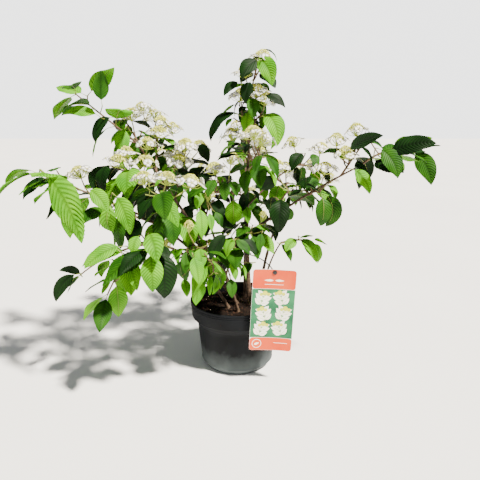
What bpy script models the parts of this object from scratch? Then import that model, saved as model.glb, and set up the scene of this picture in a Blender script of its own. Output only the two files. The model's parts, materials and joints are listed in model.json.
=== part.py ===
# A Japanese snowball shrub in flower in its nursery pot, with its compost and a hanging card.
# Metres, +Z up. The origin is the middle of the pot's flat underside, and the photographed side faces -Y.

import math
import random

import bmesh
import bpy
from mathutils import Matrix, Vector
from mathutils.bvhtree import BVHTree

# Clearance that neighbouring solids keep, and the wider one that foliage is tried with
GAP = 0.0003
TRIAL_PAD = 0.0006

# Pot: a turned tub with a stepped-out band below its rim
POT_SIDES = 44
POT_HEIGHT = 0.138
RIM_RADIUS = 0.095
BAND_RADIUS = 0.092
BAND_FOOT = 0.106
BODY_TOP_RADIUS = 0.081
BODY_TOP = 0.093
HEEL_RADIUS = 0.073
HEEL_HEIGHT = 0.013
FOOT_RADIUS = 0.066
FOOT_BEVEL = 0.003
WALL = 0.0024
FLOOR = 0.003
DRAIN_HOLES = 6
DRAIN_RADIUS = 0.0045
DRAIN_CIRCLE = 0.050
DRAIN_TURN = 0.41

# Compost, level round the stems and lower at the wall
SOIL_TOP = 0.122
SOIL_EDGE = 0.117
SOIL_LEVEL_RADIUS = 0.060

# Card and the tie that hangs it from the main stem
CARD_WIDTH = 0.078
CARD_HEIGHT = 0.158
CARD_THICKNESS = 0.0008
CARD_CORNER = 0.005
CARD_CENTRE = (0.065, -0.1000, 0.1515)
CARD_LEAN = -2.6
CARD_CURL = 0.003
CARD_HOLE_RADIUS = 0.0026
CARD_HOLE_DROP = 0.0065
TIE_RADIUS = 0.0011
TIE_RING_SHARE = 0.30
TIE_KNOB_RADIUS = 0.0042

# Limbs
ROOT_FLARE = 0.55
ROOT_FLARE_HEIGHT = 0.010
LIMB_SIDES = 6
STEM_SIDES = 8
LIMB_STEPS = 8

# Foliage
TWIG_SIDES = 3
TWIG_STEPS = 4
TWIG_FOOT_RADIUS = 0.0021
TWIG_TIP_RADIUS = 0.0013
SHOOT_RADIUS = 0.0013
STALK_RADIUS = 0.0009
LEAF_WIDTH = 0.58
LEAF_THICKNESS = 0.012
LEAF_STATIONS = (0.30, 0.66)
TERMINAL_SPLAY = 0.62
HEAD_RADIUS = 0.027
HEAD_LOBES = 6
REACH = 0.125
LOWEST = 0.004
ATTEMPTS = 8
STEM_ASIDE = 0.0015
SEAT_STEP = 0.0001
SEAT_STEPS = 150


def shoot(share, heading, rise, length=0.018, pairs=0, head=True, splay=65, fall=None, leaf=None):
    """A short side shoot: where it leaves its stem, which way, its pairs of leaves and whether it flowers."""
    return {
        "share": share, "heading": heading, "rise": rise, "length": length, "pairs": pairs,
        "head": head, "splay": splay, "fall": fall, "leaf": leaf}


# Trunk and boughs: foot, tip, how far the middle bows off the straight line, and the radius at each end.
# A limb with "from" leaves the trunk at a share of its height, and the others rise out of the compost.
LIMBS = {
    "main_stem": {
        "foot": (0.026, 0.004, SOIL_TOP + GAP), "tip": (0.025, 0.000, 0.481),
        "bow": (-0.006, 0.000, 0.000), "radii": (0.0062, 0.0026)},
    "right_bough": {
        "from": "main_stem", "at": 0.41, "tip": (0.218, -0.060, 0.410),
        "bow": (0.000, 0.000, 0.006), "radii": (0.0036, 0.0019)},
    "right_side_bough": {
        "from": "main_stem", "at": 0.57, "tip": (0.112, 0.040, 0.401),
        "bow": (0.000, 0.000, 0.004), "radii": (0.0026, 0.0016)},
    "right_low_bough": {
        "foot": (0.045, -0.010, SOIL_TOP + GAP), "tip": (0.084, -0.030, 0.261),
        "bow": (-0.004, 0.000, 0.012), "radii": (0.0030, 0.0016)},
    "left_low_bough": {
        "foot": (-0.018, -0.016, SOIL_TOP + GAP), "tip": (-0.165, -0.120, 0.285),
        "bow": (0.004, 0.004, 0.036), "radii": (0.0042, 0.0021)},
    "left_mid_bough": {
        "foot": (-0.002, 0.008, SOIL_TOP + GAP), "tip": (-0.225, -0.060, 0.343),
        "bow": (0.012, 0.004, 0.024), "radii": (0.0045, 0.0020)},
    "left_high_bough": {
        "foot": (0.004, 0.022, SOIL_TOP + GAP), "tip": (-0.189, 0.000, 0.448),
        "bow": (0.008, 0.000, -0.006), "radii": (0.0048, 0.0020)},
    "back_left_bough": {
        "foot": (-0.014, 0.040, SOIL_TOP + GAP), "tip": (-0.100, 0.125, 0.350),
        "bow": (0.004, -0.006, 0.020), "radii": (0.0042, 0.0020)},
    "back_bough": {
        "foot": (0.016, 0.046, SOIL_TOP + GAP), "tip": (0.018, 0.130, 0.395),
        "bow": (0.000, -0.008, 0.020), "radii": (0.0042, 0.0020)},
    "back_right_bough": {
        "foot": (0.044, 0.026, SOIL_TOP + GAP), "tip": (0.108, 0.095, 0.320),
        "bow": (-0.006, -0.006, 0.020), "radii": (0.0042, 0.0020)},
    "front_bough": {
        "foot": (0.002, -0.034, SOIL_TOP + GAP), "tip": (-0.042, -0.120, 0.251),
        "bow": (0.000, 0.010, 0.022), "radii": (0.0036, 0.0018)},
}

# Masses of foliage. Each has one stem that leaves a limb at a share of its length and ends at tip, pairs of
# leaves at its nodes, the roll of the first pair and the turn from one to the next, the length of a leaf, its
# angle to the stem and how far its blade falls over, and side shoots. The seed was chosen by trial.
MASSES = {
    "crown_top_spray": {
        "limb": "main_stem", "at": 1.00, "tip": (0.040, 0.005, 0.590), "bow": (-0.006, 0.000, 0.000),
        "nodes": 5, "roll": 90, "turn": 30, "leaf": 0.057, "splay": 58, "fall": 100, "seed": 134,
        "shoots": [
            shoot(0.25, 190, 50),
            shoot(0.55, 190, 50),
            shoot(0.70, 340, 60),
            shoot(0.12, 300, 50)]},
    "crown_right_spray": {
        "limb": "main_stem", "at": 0.98, "tip": (0.045, -0.005, 0.495), "bow": (0.000, 0.000, 0.004),
        "nodes": 1, "roll": 60, "turn": 0, "leaf": 0.076, "splay": 45, "fall": 100, "seed": 275,
        "shoots": [
            shoot(0.60, 300, 40)]},
    "crown_left_spray": {
        "limb": "main_stem", "at": 0.90, "tip": (0.005, 0.000, 0.515), "bow": (0.000, 0.000, 0.004),
        "nodes": 2, "roll": 60, "turn": 0, "leaf": 0.052, "splay": 50, "fall": 75, "seed": 400,
        "shoots": [
            shoot(0.50, 240, 60)]},
    "crown_front_spray": {
        "limb": "main_stem", "at": 0.76, "tip": (0.040, -0.095, 0.430),
        "nodes": 3, "roll": 0, "turn": 90, "leaf": 0.078, "splay": 60, "fall": 85, "seed": 968,
        "shoots": [
            shoot(0.70, 20, 60),
            shoot(1.00, 200, 60)]},
    "crown_back_spray": {
        "limb": "main_stem", "at": 0.86, "tip": (0.050, 0.070, 0.370),
        "nodes": 3, "roll": 60, "turn": 0, "leaf": 0.069, "splay": 60, "fall": 30, "seed": 448,
        "shoots": [
            shoot(0.70, 90, 60, pairs=1)]},
    "crown_low_spray": {
        "limb": "main_stem", "at": 0.62, "tip": (-0.055, -0.070, 0.360), "bow": (0.000, 0.000, 0.006),
        "nodes": 3, "roll": 60, "turn": 30, "leaf": 0.079, "splay": 60, "fall": 100, "seed": 662,
        "shoots": [
            shoot(0.60, 160, 65)]},
    "crown_foot_spray": {
        "limb": "main_stem", "at": 0.42, "tip": (0.025, -0.050, 0.285), "bow": (0.000, 0.000, 0.004),
        "nodes": 2, "roll": 30, "turn": 30, "leaf": 0.075, "splay": 60, "fall": 75, "seed": 59,
        "shoots": []},
    "right_side_spray": {
        "limb": "right_side_bough", "at": 1.00, "tip": (0.160, 0.075, 0.395), "bow": (0.000, 0.000, 0.002),
        "nodes": 2, "roll": 0, "turn": 30, "leaf": 0.069, "splay": 55, "fall": 90, "seed": 439,
        "shoots": [
            shoot(0.30, 150, 60),
            shoot(1.00, 0, 60)]},
    "right_back_spray": {
        "limb": "right_side_bough", "at": 0.60, "tip": (0.105, 0.050, 0.350), "bow": (0.000, 0.000, 0.002),
        "nodes": 2, "roll": 30, "turn": 60, "leaf": 0.072, "splay": 55, "fall": 60, "seed": 30,
        "shoots": [
            shoot(0.80, 90, 60)]},
    "right_inner_spray": {
        "limb": "right_bough", "at": 0.20, "tip": (0.095, -0.050, 0.365), "bow": (0.000, 0.000, 0.004),
        "nodes": 2, "roll": 0, "turn": 0, "leaf": 0.080, "splay": 50, "fall": 100, "seed": 43,
        "shoots": []},
    "right_middle_spray": {
        "limb": "right_bough", "at": 0.55, "tip": (0.150, -0.055, 0.360), "bow": (0.000, 0.000, 0.004),
        "nodes": 1, "roll": 30, "turn": 30, "leaf": 0.074, "splay": 45, "fall": 100, "seed": 517,
        "shoots": [
            shoot(0.30, 200, 70, pairs=1)]},
    "right_upper_spray": {
        "limb": "right_bough", "at": 0.84, "tip": (0.220, -0.055, 0.445),
        "nodes": 2, "roll": 0, "turn": 0, "leaf": 0.070, "splay": 60, "fall": 95, "seed": 524,
        "shoots": [
            shoot(0.30, 190, 30, length=0.030),
            shoot(0.80, 180, 80)]},
    "right_tip_spray": {
        "limb": "right_bough", "at": 1.00, "tip": (0.290, -0.065, 0.440), "bow": (0.000, 0.000, 0.008),
        "nodes": 5, "roll": 0, "turn": 0, "leaf": 0.080, "splay": 48, "fall": 30, "seed": 63,
        "shoots": []},
    "right_low_spray": {
        "limb": "right_low_bough", "at": 1.00, "tip": (0.145, -0.015, 0.260), "bow": (0.000, 0.000, 0.004),
        "nodes": 2, "roll": 30, "turn": 90, "leaf": 0.052, "splay": 45, "fall": 75, "seed": 979,
        "shoots": []},
    "left_high_tip_spray": {
        "limb": "left_high_bough", "at": 1.00, "tip": (-0.295, 0.000, 0.535),
        "nodes": 3, "roll": 90, "turn": 30, "leaf": 0.082, "splay": 58, "fall": 60, "seed": 933,
        "shoots": [
            shoot(0.80, 60, 75, length=0.012, pairs=1, head=False, splay=22, fall=15, leaf=0.072)]},
    "left_high_side_spray": {
        "limb": "left_high_bough", "at": 0.93, "tip": (-0.210, 0.035, 0.480),
        "nodes": 2, "roll": 0, "turn": 90, "leaf": 0.070, "splay": 58, "fall": 90, "seed": 772,
        "shoots": [
            shoot(0.50, 150, 70)]},
    "left_high_upper_spray": {
        "limb": "left_high_bough", "at": 0.84, "tip": (-0.160, 0.050, 0.460),
        "nodes": 2, "roll": 60, "turn": 30, "leaf": 0.069, "splay": 58, "fall": 70, "seed": 331,
        "shoots": [
            shoot(0.50, 300, 60),
            shoot(1.00, 90, 70),
            shoot(0.80, 0, 50)]},
    "left_high_inner_spray": {
        "limb": "left_high_bough", "at": 0.68, "tip": (-0.115, 0.050, 0.400),
        "nodes": 2, "roll": 60, "turn": 0, "leaf": 0.085, "splay": 58, "fall": 60, "seed": 81,
        "shoots": [
            shoot(0.50, 300, 60),
            shoot(1.00, 20, 60),
            shoot(0.80, 180, 60)]},
    "left_high_front_spray": {
        "limb": "left_high_bough", "at": 0.74, "tip": (-0.220, -0.065, 0.410),
        "nodes": 3, "roll": 0, "turn": 90, "leaf": 0.092, "splay": 58, "fall": 95, "seed": 521,
        "shoots": [
            shoot(0.60, 200, 60)]},
    "left_mid_tip_spray": {
        "limb": "left_mid_bough", "at": 1.00, "tip": (-0.335, -0.100, 0.400), "bow": (0.000, 0.000, 0.002),
        "nodes": 5, "roll": 90, "turn": 30, "leaf": 0.093, "splay": 48, "fall": 65, "seed": 760,
        "shoots": [
            shoot(0.30, 170, 60)]},
    "left_mid_spray": {
        "limb": "left_mid_bough", "at": 0.72, "tip": (-0.225, -0.095, 0.340), "bow": (0.000, 0.000, 0.002),
        "nodes": 3, "roll": 0, "turn": 60, "leaf": 0.076, "splay": 58, "fall": 90, "seed": 556,
        "shoots": [
            shoot(0.70, 90, 70)]},
    "left_mid_inner_spray": {
        "limb": "left_mid_bough", "at": 0.60, "tip": (-0.125, -0.135, 0.370), "bow": (0.000, 0.000, 0.002),
        "nodes": 3, "roll": 0, "turn": 60, "leaf": 0.089, "splay": 58, "fall": 100, "seed": 73,
        "shoots": [
            shoot(0.80, 0, 70)]},
    "left_mid_centre_spray": {
        "limb": "left_mid_bough", "at": 0.35, "tip": (-0.065, -0.100, 0.270), "bow": (0.000, 0.000, 0.002),
        "nodes": 3, "roll": 30, "turn": 90, "leaf": 0.081, "splay": 58, "fall": 100, "seed": 480,
        "shoots": [
            shoot(0.80, 0, 70)]},
    "left_low_tip_spray": {
        "limb": "left_low_bough", "at": 1.00, "tip": (-0.220, -0.145, 0.200), "bow": (0.000, 0.000, 0.008),
        "nodes": 4, "roll": 60, "turn": 90, "leaf": 0.068, "splay": 50, "fall": 50, "seed": 850,
        "shoots": []},
    "left_far_spray": {
        "limb": "left_low_bough", "at": 0.90, "tip": (-0.285, -0.085, 0.215), "bow": (0.000, 0.000, 0.008),
        "nodes": 1, "roll": 0, "turn": 60, "leaf": 0.042, "splay": 50, "fall": 30, "seed": 890,
        "shoots": []},
    "left_low_spray": {
        "limb": "left_low_bough", "at": 0.76, "tip": (-0.140, -0.160, 0.285), "bow": (0.000, 0.000, 0.004),
        "nodes": 2, "roll": 0, "turn": 30, "leaf": 0.100, "splay": 50, "fall": 70, "seed": 544,
        "shoots": []},
    "left_low_inner_spray": {
        "limb": "left_low_bough", "at": 0.56, "tip": (-0.070, -0.110, 0.245), "bow": (0.000, 0.000, 0.004),
        "nodes": 3, "roll": 30, "turn": 90, "leaf": 0.059, "splay": 50, "fall": 90, "seed": 187,
        "shoots": []},
    "front_tip_spray": {
        "limb": "front_bough", "at": 1.00, "tip": (-0.040, -0.125, 0.235), "bow": (0.000, 0.000, 0.008),
        "nodes": 2, "roll": 60, "turn": 0, "leaf": 0.059, "splay": 60, "fall": 65, "seed": 851,
        "shoots": []},
    "front_spray": {
        "limb": "front_bough", "at": 0.50, "tip": (0.000, -0.090, 0.285), "bow": (0.000, 0.000, 0.004),
        "nodes": 3, "roll": 60, "turn": 60, "leaf": 0.063, "splay": 60, "fall": 85, "seed": 388,
        "shoots": []},
    "back_left_spray": {
        "limb": "back_left_bough", "at": 1.00, "tip": (-0.175, 0.165, 0.385), "bow": (0.000, 0.000, 0.010),
        "nodes": 4, "roll": 90, "turn": 0, "leaf": 0.070, "splay": 55, "fall": 70, "seed": 194,
        "shoots": [
            shoot(0.30, 100, 65, pairs=1),
            shoot(0.70, 200, 65, pairs=1)]},
    "back_left_inner_spray": {
        "limb": "back_left_bough", "at": 0.66, "tip": (-0.045, 0.130, 0.360), "bow": (0.000, 0.000, 0.010),
        "nodes": 3, "roll": 60, "turn": 30, "leaf": 0.066, "splay": 55, "fall": 70, "seed": 834,
        "shoots": [
            shoot(0.60, 60, 65, pairs=1)]},
    "back_spray": {
        "limb": "back_bough", "at": 1.00, "tip": (0.005, 0.205, 0.450), "bow": (0.000, 0.000, 0.010),
        "nodes": 4, "roll": 90, "turn": 90, "leaf": 0.070, "splay": 55, "fall": 70, "seed": 609,
        "shoots": [
            shoot(0.30, 0, 65, pairs=1),
            shoot(0.70, 180, 65, pairs=1)]},
    "back_low_spray": {
        "limb": "back_bough", "at": 0.60, "tip": (0.055, 0.165, 0.275), "bow": (0.000, 0.000, 0.010),
        "nodes": 3, "roll": 60, "turn": 30, "leaf": 0.070, "splay": 55, "fall": 70, "seed": 800,
        "shoots": []},
    "back_right_spray": {
        "limb": "back_right_bough", "at": 1.00, "tip": (0.165, 0.140, 0.335), "bow": (0.000, 0.000, 0.010),
        "nodes": 4, "roll": 0, "turn": 0, "leaf": 0.066, "splay": 55, "fall": 70, "seed": 232,
        "shoots": [
            shoot(0.30, 60, 65, pairs=1)]},
}


def direction(heading, rise):
    """Unit vector for a compass heading, 0 toward +X and 90 toward +Y, and a rise above level, in degrees."""
    turn, lift = math.radians(heading), math.radians(rise)
    return Vector((math.cos(lift) * math.cos(turn), math.cos(lift) * math.sin(turn), math.sin(lift)))


def bowed(foot, tip, bow, share):
    """Point at a share of the curve from foot to tip whose middle stands off the straight line by bow."""
    foot, tip, bow = Vector(foot), Vector(tip), Vector(bow)
    middle = (foot + tip) / 2 + 2 * bow
    return (1 - share) ** 2 * foot + 2 * share * (1 - share) * middle + share * share * tip


def arc(start, heading, rise, length, arch, steps):
    """Points of a shoot or blade that sets out on a heading and rise, the rise changing by arch."""
    points = [Vector(start)]
    for step in range(steps):
        turned_to = rise + arch * (step + 0.5) / steps
        points.append(points[-1] + direction(heading, turned_to) * (length / steps))
    return points


def along(points, share):
    """Point and direction at a share of a line of equally long pieces."""
    place = min(max(share, 0.0), 0.9999) * (len(points) - 1)
    piece = int(place)
    step = points[piece + 1] - points[piece]
    return points[piece] + step * (place - piece), step.normalized()


def limb_point(name, share):
    limb = LIMBS[name]
    return bowed(limb["foot"], limb["tip"], limb.get("bow", (0, 0, 0)), share)


def limb_radius(name, share):
    thick, thin = LIMBS[name]["radii"]
    return thick + (thin - thick) * share


def tube(points, radii, sides, flat_foot=False):
    """A closed tapering tube along points, its first ring level if flat_foot."""
    verts, faces = [], []
    side = None
    for i, point in enumerate(points):
        way = (points[min(i + 1, len(points) - 1)] - points[max(i - 1, 0)]).normalized()
        if flat_foot and i == 0:
            way = Vector((0, 0, 1))
        side = way.orthogonal() if side is None else side - way * side.dot(way)
        side.normalize()
        other = way.cross(side)
        for k in range(sides):
            angle = 2 * math.pi * k / sides
            verts.append(point + radii[i] * (math.cos(angle) * side + math.sin(angle) * other))
    for i in range(len(points) - 1):
        for k in range(sides):
            a, b = i * sides + k, i * sides + (k + 1) % sides
            faces.append((a, b, b + sides, a + sides))
    faces.append(tuple(range(sides))[::-1])
    faces.append(tuple(range(len(verts) - sides, len(verts))))
    return verts, faces


def turned(profile, sides):
    """A closed solid turned about Z from (radius, height) points that start and end on the axis."""
    verts, faces, rows = [], [], []
    for radius, height in profile:
        if radius == 0:
            rows.append([len(verts)] * sides)
            verts.append(Vector((0, 0, height)))
            continue
        rows.append(list(range(len(verts), len(verts) + sides)))
        for k in range(sides):
            angle = 2 * math.pi * k / sides
            verts.append(Vector((radius * math.cos(angle), radius * math.sin(angle), height)))
    for low, high in zip(rows, rows[1:]):
        for k in range(sides):
            corners = [low[k], low[(k + 1) % sides], high[(k + 1) % sides], high[k]]
            faces.append(tuple(dict.fromkeys(corners)))
    return verts, faces


POT_OUTSIDE = (
    (FOOT_RADIUS - FOOT_BEVEL, 0), (FOOT_RADIUS, FOOT_BEVEL), (HEEL_RADIUS, HEEL_HEIGHT),
    (BODY_TOP_RADIUS, BODY_TOP), (BAND_RADIUS, BAND_FOOT), (RIM_RADIUS, POT_HEIGHT))


def pot_shape():
    inside = [(radius - WALL, height) for radius, height in POT_OUTSIDE[:1:-1]]
    floor = [(FOOT_RADIUS - WALL, FLOOR), (0, FLOOR)]
    return turned([(0, 0), *POT_OUTSIDE, *inside, *floor], POT_SIDES)


def soil_shape():
    wall = [(radius - WALL - GAP, height) for radius, height in POT_OUTSIDE[2:5]]
    share = (SOIL_EDGE - BAND_FOOT) / (POT_HEIGHT - BAND_FOOT)
    edge = BAND_RADIUS + (RIM_RADIUS - BAND_RADIUS) * share - WALL - GAP
    return turned(
        [(0, FLOOR + GAP), (FOOT_RADIUS - WALL - GAP, FLOOR + GAP), *wall, (edge, SOIL_EDGE),
         (SOIL_LEVEL_RADIUS, SOIL_TOP), (0, SOIL_TOP)], POT_SIDES)


def card_shape():
    """The card as a strip of columns, its corners rounded and its sides curled forward."""
    half = CARD_WIDTH / 2
    corner = [CARD_CORNER * (1 - math.cos(math.radians(a))) for a in (0, 30, 60, 90)]
    columns = [-half + inset for inset in corner]
    columns += [columns[-1] + (half - CARD_CORNER) * 2 * k / 6 for k in range(1, 6)]
    columns += [half - inset for inset in corner[::-1]]
    verts, faces = [], []
    for x in columns:
        into = max(0.0, CARD_CORNER - (half - abs(x)))
        tall = CARD_HEIGHT / 2 - (CARD_CORNER - math.sqrt(max(0.0, CARD_CORNER ** 2 - into ** 2)))
        curl = -CARD_CURL * (x / half) ** 2
        for y in (-CARD_THICKNESS / 2, CARD_THICKNESS / 2):
            for z in (-tall, tall):
                verts.append(Vector((x, y + curl, z)))
    for column in range(len(columns) - 1):
        a, b = column * 4, column * 4 + 4
        faces += [(a, b, b + 1, a + 1), (a + 3, b + 3, b + 2, a + 2)]
        faces += [(a + 2, b + 2, b, a), (a + 1, b + 1, b + 3, a + 3)]
    last = len(verts) - 4
    faces += [(0, 1, 3, 2), (last, last + 2, last + 3, last + 1)]
    return verts, faces


def card_hole():
    """Middle of the hole in the card, in the part's frame."""
    up = Vector((math.sin(math.radians(-CARD_LEAN)), 0, math.cos(math.radians(CARD_LEAN))))
    return Vector(CARD_CENTRE) + up * (CARD_HEIGHT / 2 - CARD_HOLE_DROP)


def tie_shapes():
    """A plastic tie: a ring open at the back round the main stem, and a tail through the card's hole."""
    stem = limb_point("main_stem", TIE_RING_SHARE)
    ring_radius = limb_radius("main_stem", TIE_RING_SHARE) + GAP + TIE_RADIUS + 0.0002
    ring = []
    for step in range(13):
        angle = math.radians(-62 + (step - 12) * 25)
        ring.append(stem + Vector((ring_radius * math.cos(angle), ring_radius * math.sin(angle), 0)))
    hole = card_hole() + Vector((0, 0, CARD_HOLE_RADIUS - TIE_RADIUS - GAP))
    front = hole + Vector((0, -CARD_THICKNESS / 2 - GAP, 0))
    behind = hole + Vector((-0.002, 0.006, 0.001))
    route = [bowed(ring[-1], behind, (0.004, 0, 0.004), k / 6) for k in range(1, 7)]
    knob = front + Vector((0, -0.0024, 0))
    tail = [*ring, *route, hole + Vector((0, 0.0018, 0)), front, knob]
    strap = tube(tail, [TIE_RADIUS] * len(tail), 6)
    button = tube(
        [front + Vector((0, -0.0001, 0)), front + Vector((0, -0.0014, 0))], [TIE_KNOB_RADIUS] * 2, 10)
    return [strap, button]


def limb_shape(name):
    limb = LIMBS[name]
    rooted = "from" not in limb
    points, radii = [], []
    for step in range(LIMB_STEPS + 1):
        share = step / LIMB_STEPS
        points.append(limb_point(name, share))
        radii.append(limb_radius(name, share))
    if rooted:
        thick = radii[0]
        radii[0] = thick * (1 + ROOT_FLARE)
        above = ROOT_FLARE_HEIGHT / (limb["tip"][2] - limb["foot"][2])
        points.insert(1, limb_point(name, above))
        radii.insert(1, thick)
    return tube(points, radii, STEM_SIDES if name == "main_stem" else LIMB_SIDES, flat_foot=rooted)


def leaf_line(leaf):
    """Base of the stalk, and the blade's middle line at its start, its stations and its tip."""
    stalk = arc(leaf["base"], leaf["heading"], leaf["rise"], leaf["stalk"], -0.15 * leaf["fall"], 1)
    bend = -0.9 * leaf["fall"]
    blade = arc(stalk[1], leaf["heading"], leaf["rise"] - 0.35 * leaf["fall"], leaf["length"], bend, 6)
    return stalk[0], [blade[0]] + [along(blade, share)[0] for share in LEAF_STATIONS] + [blade[-1]]


def half_width(share):
    """Half the width of a blade at a share of its length, for a blade one unit wide."""
    return 0.5 * math.sin(math.pi * share ** 0.72) ** 0.85


def leaf_shape(leaf, pad=0.0, with_stalk=True):
    """A closed leaf: a three-sided stalk that widens into a thin arching blade with a pointed tip."""
    base, line = leaf_line(leaf)
    chord = (line[-1] - line[0]).normalized()
    level = chord.cross(Vector((0, 0, 1)))
    level = level.normalized() if level.length > 0.05 else Vector((1, 0, 0))
    across = -(Matrix.Rotation(math.radians(leaf["twist"]), 3, chord) @ level)
    ends = [base, *line[:-1], line[-1] + chord * pad]
    stalk = STALK_RADIUS + pad
    thick = LEAF_THICKNESS * leaf["length"] / 2 + pad
    verts, rings = [], []
    for i in range(0 if with_stalk else 1, len(ends) - 1):
        way = (ends[i + 1] - ends[max(i - 1, 0)]).normalized()
        flat = (across - way * across.dot(way)).normalized()
        face = way.cross(flat)
        corners = [(-stalk, -0.6 * stalk), (stalk, -0.6 * stalk), (0, stalk)]
        if i > 1:
            wide = LEAF_WIDTH * leaf["length"] * half_width(LEAF_STATIONS[i - 2]) + pad
            corners = [(-wide, -thick), (wide, -thick), (wide, thick), (-wide, thick)]
        rings.append(list(range(len(verts), len(verts) + len(corners))))
        verts += [ends[i] + flat * a + face * b for a, b in corners]
    rings.append([len(verts)])
    verts.append(ends[-1])
    faces = [tuple(rings[0][::-1])]
    for low, high in zip(rings, rings[1:]):
        faces += bridge(low, high)
    return verts, faces


def bridge(low, high):
    """Faces between two rings, the upper one with as many points as the lower, one more, or only one."""
    count = len(low)
    if len(high) == 1:
        return [(low[k], low[(k + 1) % count], high[0]) for k in range(count)]
    if len(high) == count:
        return [(low[k], low[(k + 1) % count], high[(k + 1) % count], high[k]) for k in range(count)]
    sides = [(low[k], low[k + 1], high[k + 1], high[k]) for k in range(count - 1)]
    return sides + [(low[-1], high[-1], high[-2]), (low[-1], low[0], high[0], high[-1])]


def head_shape(head, pad=0.0):
    """A flat flower head: a low dome of fertile flowers in a lobed rim of large florets."""
    axis = head["axis"]
    side = axis.orthogonal().normalized()
    other = axis.cross(side)
    size = head["size"]
    verts = [head["centre"] - axis * (0.0035 * size + pad)]
    rings = ((HEAD_RADIUS, 0.64, 0.0), (0.45 * HEAD_RADIUS, 1.0, 0.006))
    count = 2 * HEAD_LOBES
    for radius, notch, height in rings:
        for k in range(count):
            angle = 2 * math.pi * k / count + head["turn"]
            out = radius * size * (1.0 if k % 2 == 0 else notch) + pad
            spot = math.cos(angle) * side + math.sin(angle) * other
            verts.append(head["centre"] + spot * out + axis * (height * size))
    verts.append(head["centre"] + axis * (0.0095 * size + pad))
    faces = []
    for k in range(count):
        a, b = 1 + k, 1 + (k + 1) % count
        faces += [(0, b, a), (a, b, b + count, a + count), (a + count, b + count, len(verts) - 1)]
    return verts, faces


def tree_of(shape):
    return BVHTree.FromPolygons(*shape)


def is_clear(shape, trees):
    own = tree_of(shape)
    return not any(own.overlap(tree) for tree in trees)


def stays_in_space(shape, stem):
    """True if a shape is above the ground and within reach of its mass's stem."""
    spots = [point for a, b in zip(stem, stem[1:]) for point in (a, (a + b) / 2)] + [stem[-1]]
    return all(v.z > LOWEST and min((v - p).length for p in spots) < REACH for v in shape[0])


def try_leaf(base, axis, roll, splay, fall, size, name):
    """Settings of one leaf that leaves its twig at base, drawn from a named seed."""
    dice = random.Random(name)
    side = axis.cross(Vector((0, 0, 1)))
    side = side.normalized() if side.length > 0.2 else Vector((1, 0, 0))
    turn = math.radians(roll + dice.uniform(-38, 38))
    out = math.cos(turn) * side + math.sin(turn) * side.cross(axis)
    angle = math.radians(splay + dice.uniform(-22, 22))
    way = math.cos(angle) * axis + math.sin(angle) * out
    rise = math.degrees(math.asin(max(-1.0, min(1.0, way.z)))) * 0.7
    return {
        "base": base, "heading": math.degrees(math.atan2(way.y, way.x)), "rise": rise + dice.uniform(-16, 16),
        "fall": fall * dice.uniform(0.45, 1.3), "length": size * dice.uniform(0.78, 1.15),
        "twist": dice.uniform(-30, 30), "stalk": size * 0.2}


def add_pair(mass, base, axis, roll, splay, fall, size, name, shapes, own, trees):
    """Adds the leaves of a pair that find room, each after a few tries, to the shapes and trees of a mass."""
    for turn in (0, 180):
        for attempt in range(ATTEMPTS):
            draw = f"{mass['seed']} {name} {turn} {attempt}"
            leaf = try_leaf(base, axis, roll + turn, splay, fall, size, draw)
            blade = leaf_shape(leaf, TRIAL_PAD, with_stalk=False)
            whole = leaf_shape(leaf, TRIAL_PAD)
            if stays_in_space(whole, shapes["stem"]) and is_clear(whole, trees) and is_clear(blade, own):
                shapes["leaves"].append(leaf)
                own.append(tree_of(leaf_shape(leaf, with_stalk=False)))
                break


def grow_mass(name, trees):
    """The stem, twigs, leaves and heads of a mass, clear of the trees of everything built before it."""
    mass = MASSES[name]
    limb, at = mass["limb"], mass["at"]
    foot = limb_point(limb, at)
    limb_tree = tree_of(limb_shape(limb))
    for attempt in range(ATTEMPTS):
        dice = random.Random(f"{mass['seed']} stem {attempt}")
        aside = direction(dice.uniform(0, 360), 0) * STEM_ASIDE * attempt
        bow = Vector(mass.get("bow", (0, 0, 0))) + aside
        stem = seated(limb_tree, foot, mass["tip"], bow, stem_radii(TWIG_STEPS + 1), TWIG_SIDES)
        own = [tree_of(tube(stem, stem_radii(len(stem)), TWIG_SIDES))]
        if not any(own[0].overlap(tree) for tree in trees):
            break
    grown = {"stem": stem, "twigs": [], "leaves": [], "heads": []}
    pairs = mass["nodes"]
    for node in range(pairs):
        base, axis = along(stem, min((node + 1) / pairs, 0.985))
        size = mass["leaf"] * (1.0 - 0.2 * (node / max(1, pairs - 1)) ** 2)
        splay = mass["splay"] * (TERMINAL_SPLAY if node == pairs - 1 else 1.0)
        roll = mass["roll"] + mass["turn"] * node
        add_pair(mass, base, axis, roll, splay, mass["fall"], size, f"node {node}", grown, own, trees)
    for number, side in enumerate(mass["shoots"]):
        add_shoot(mass, side, f"shoot {number}", grown, own, trees)
    return grown


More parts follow.
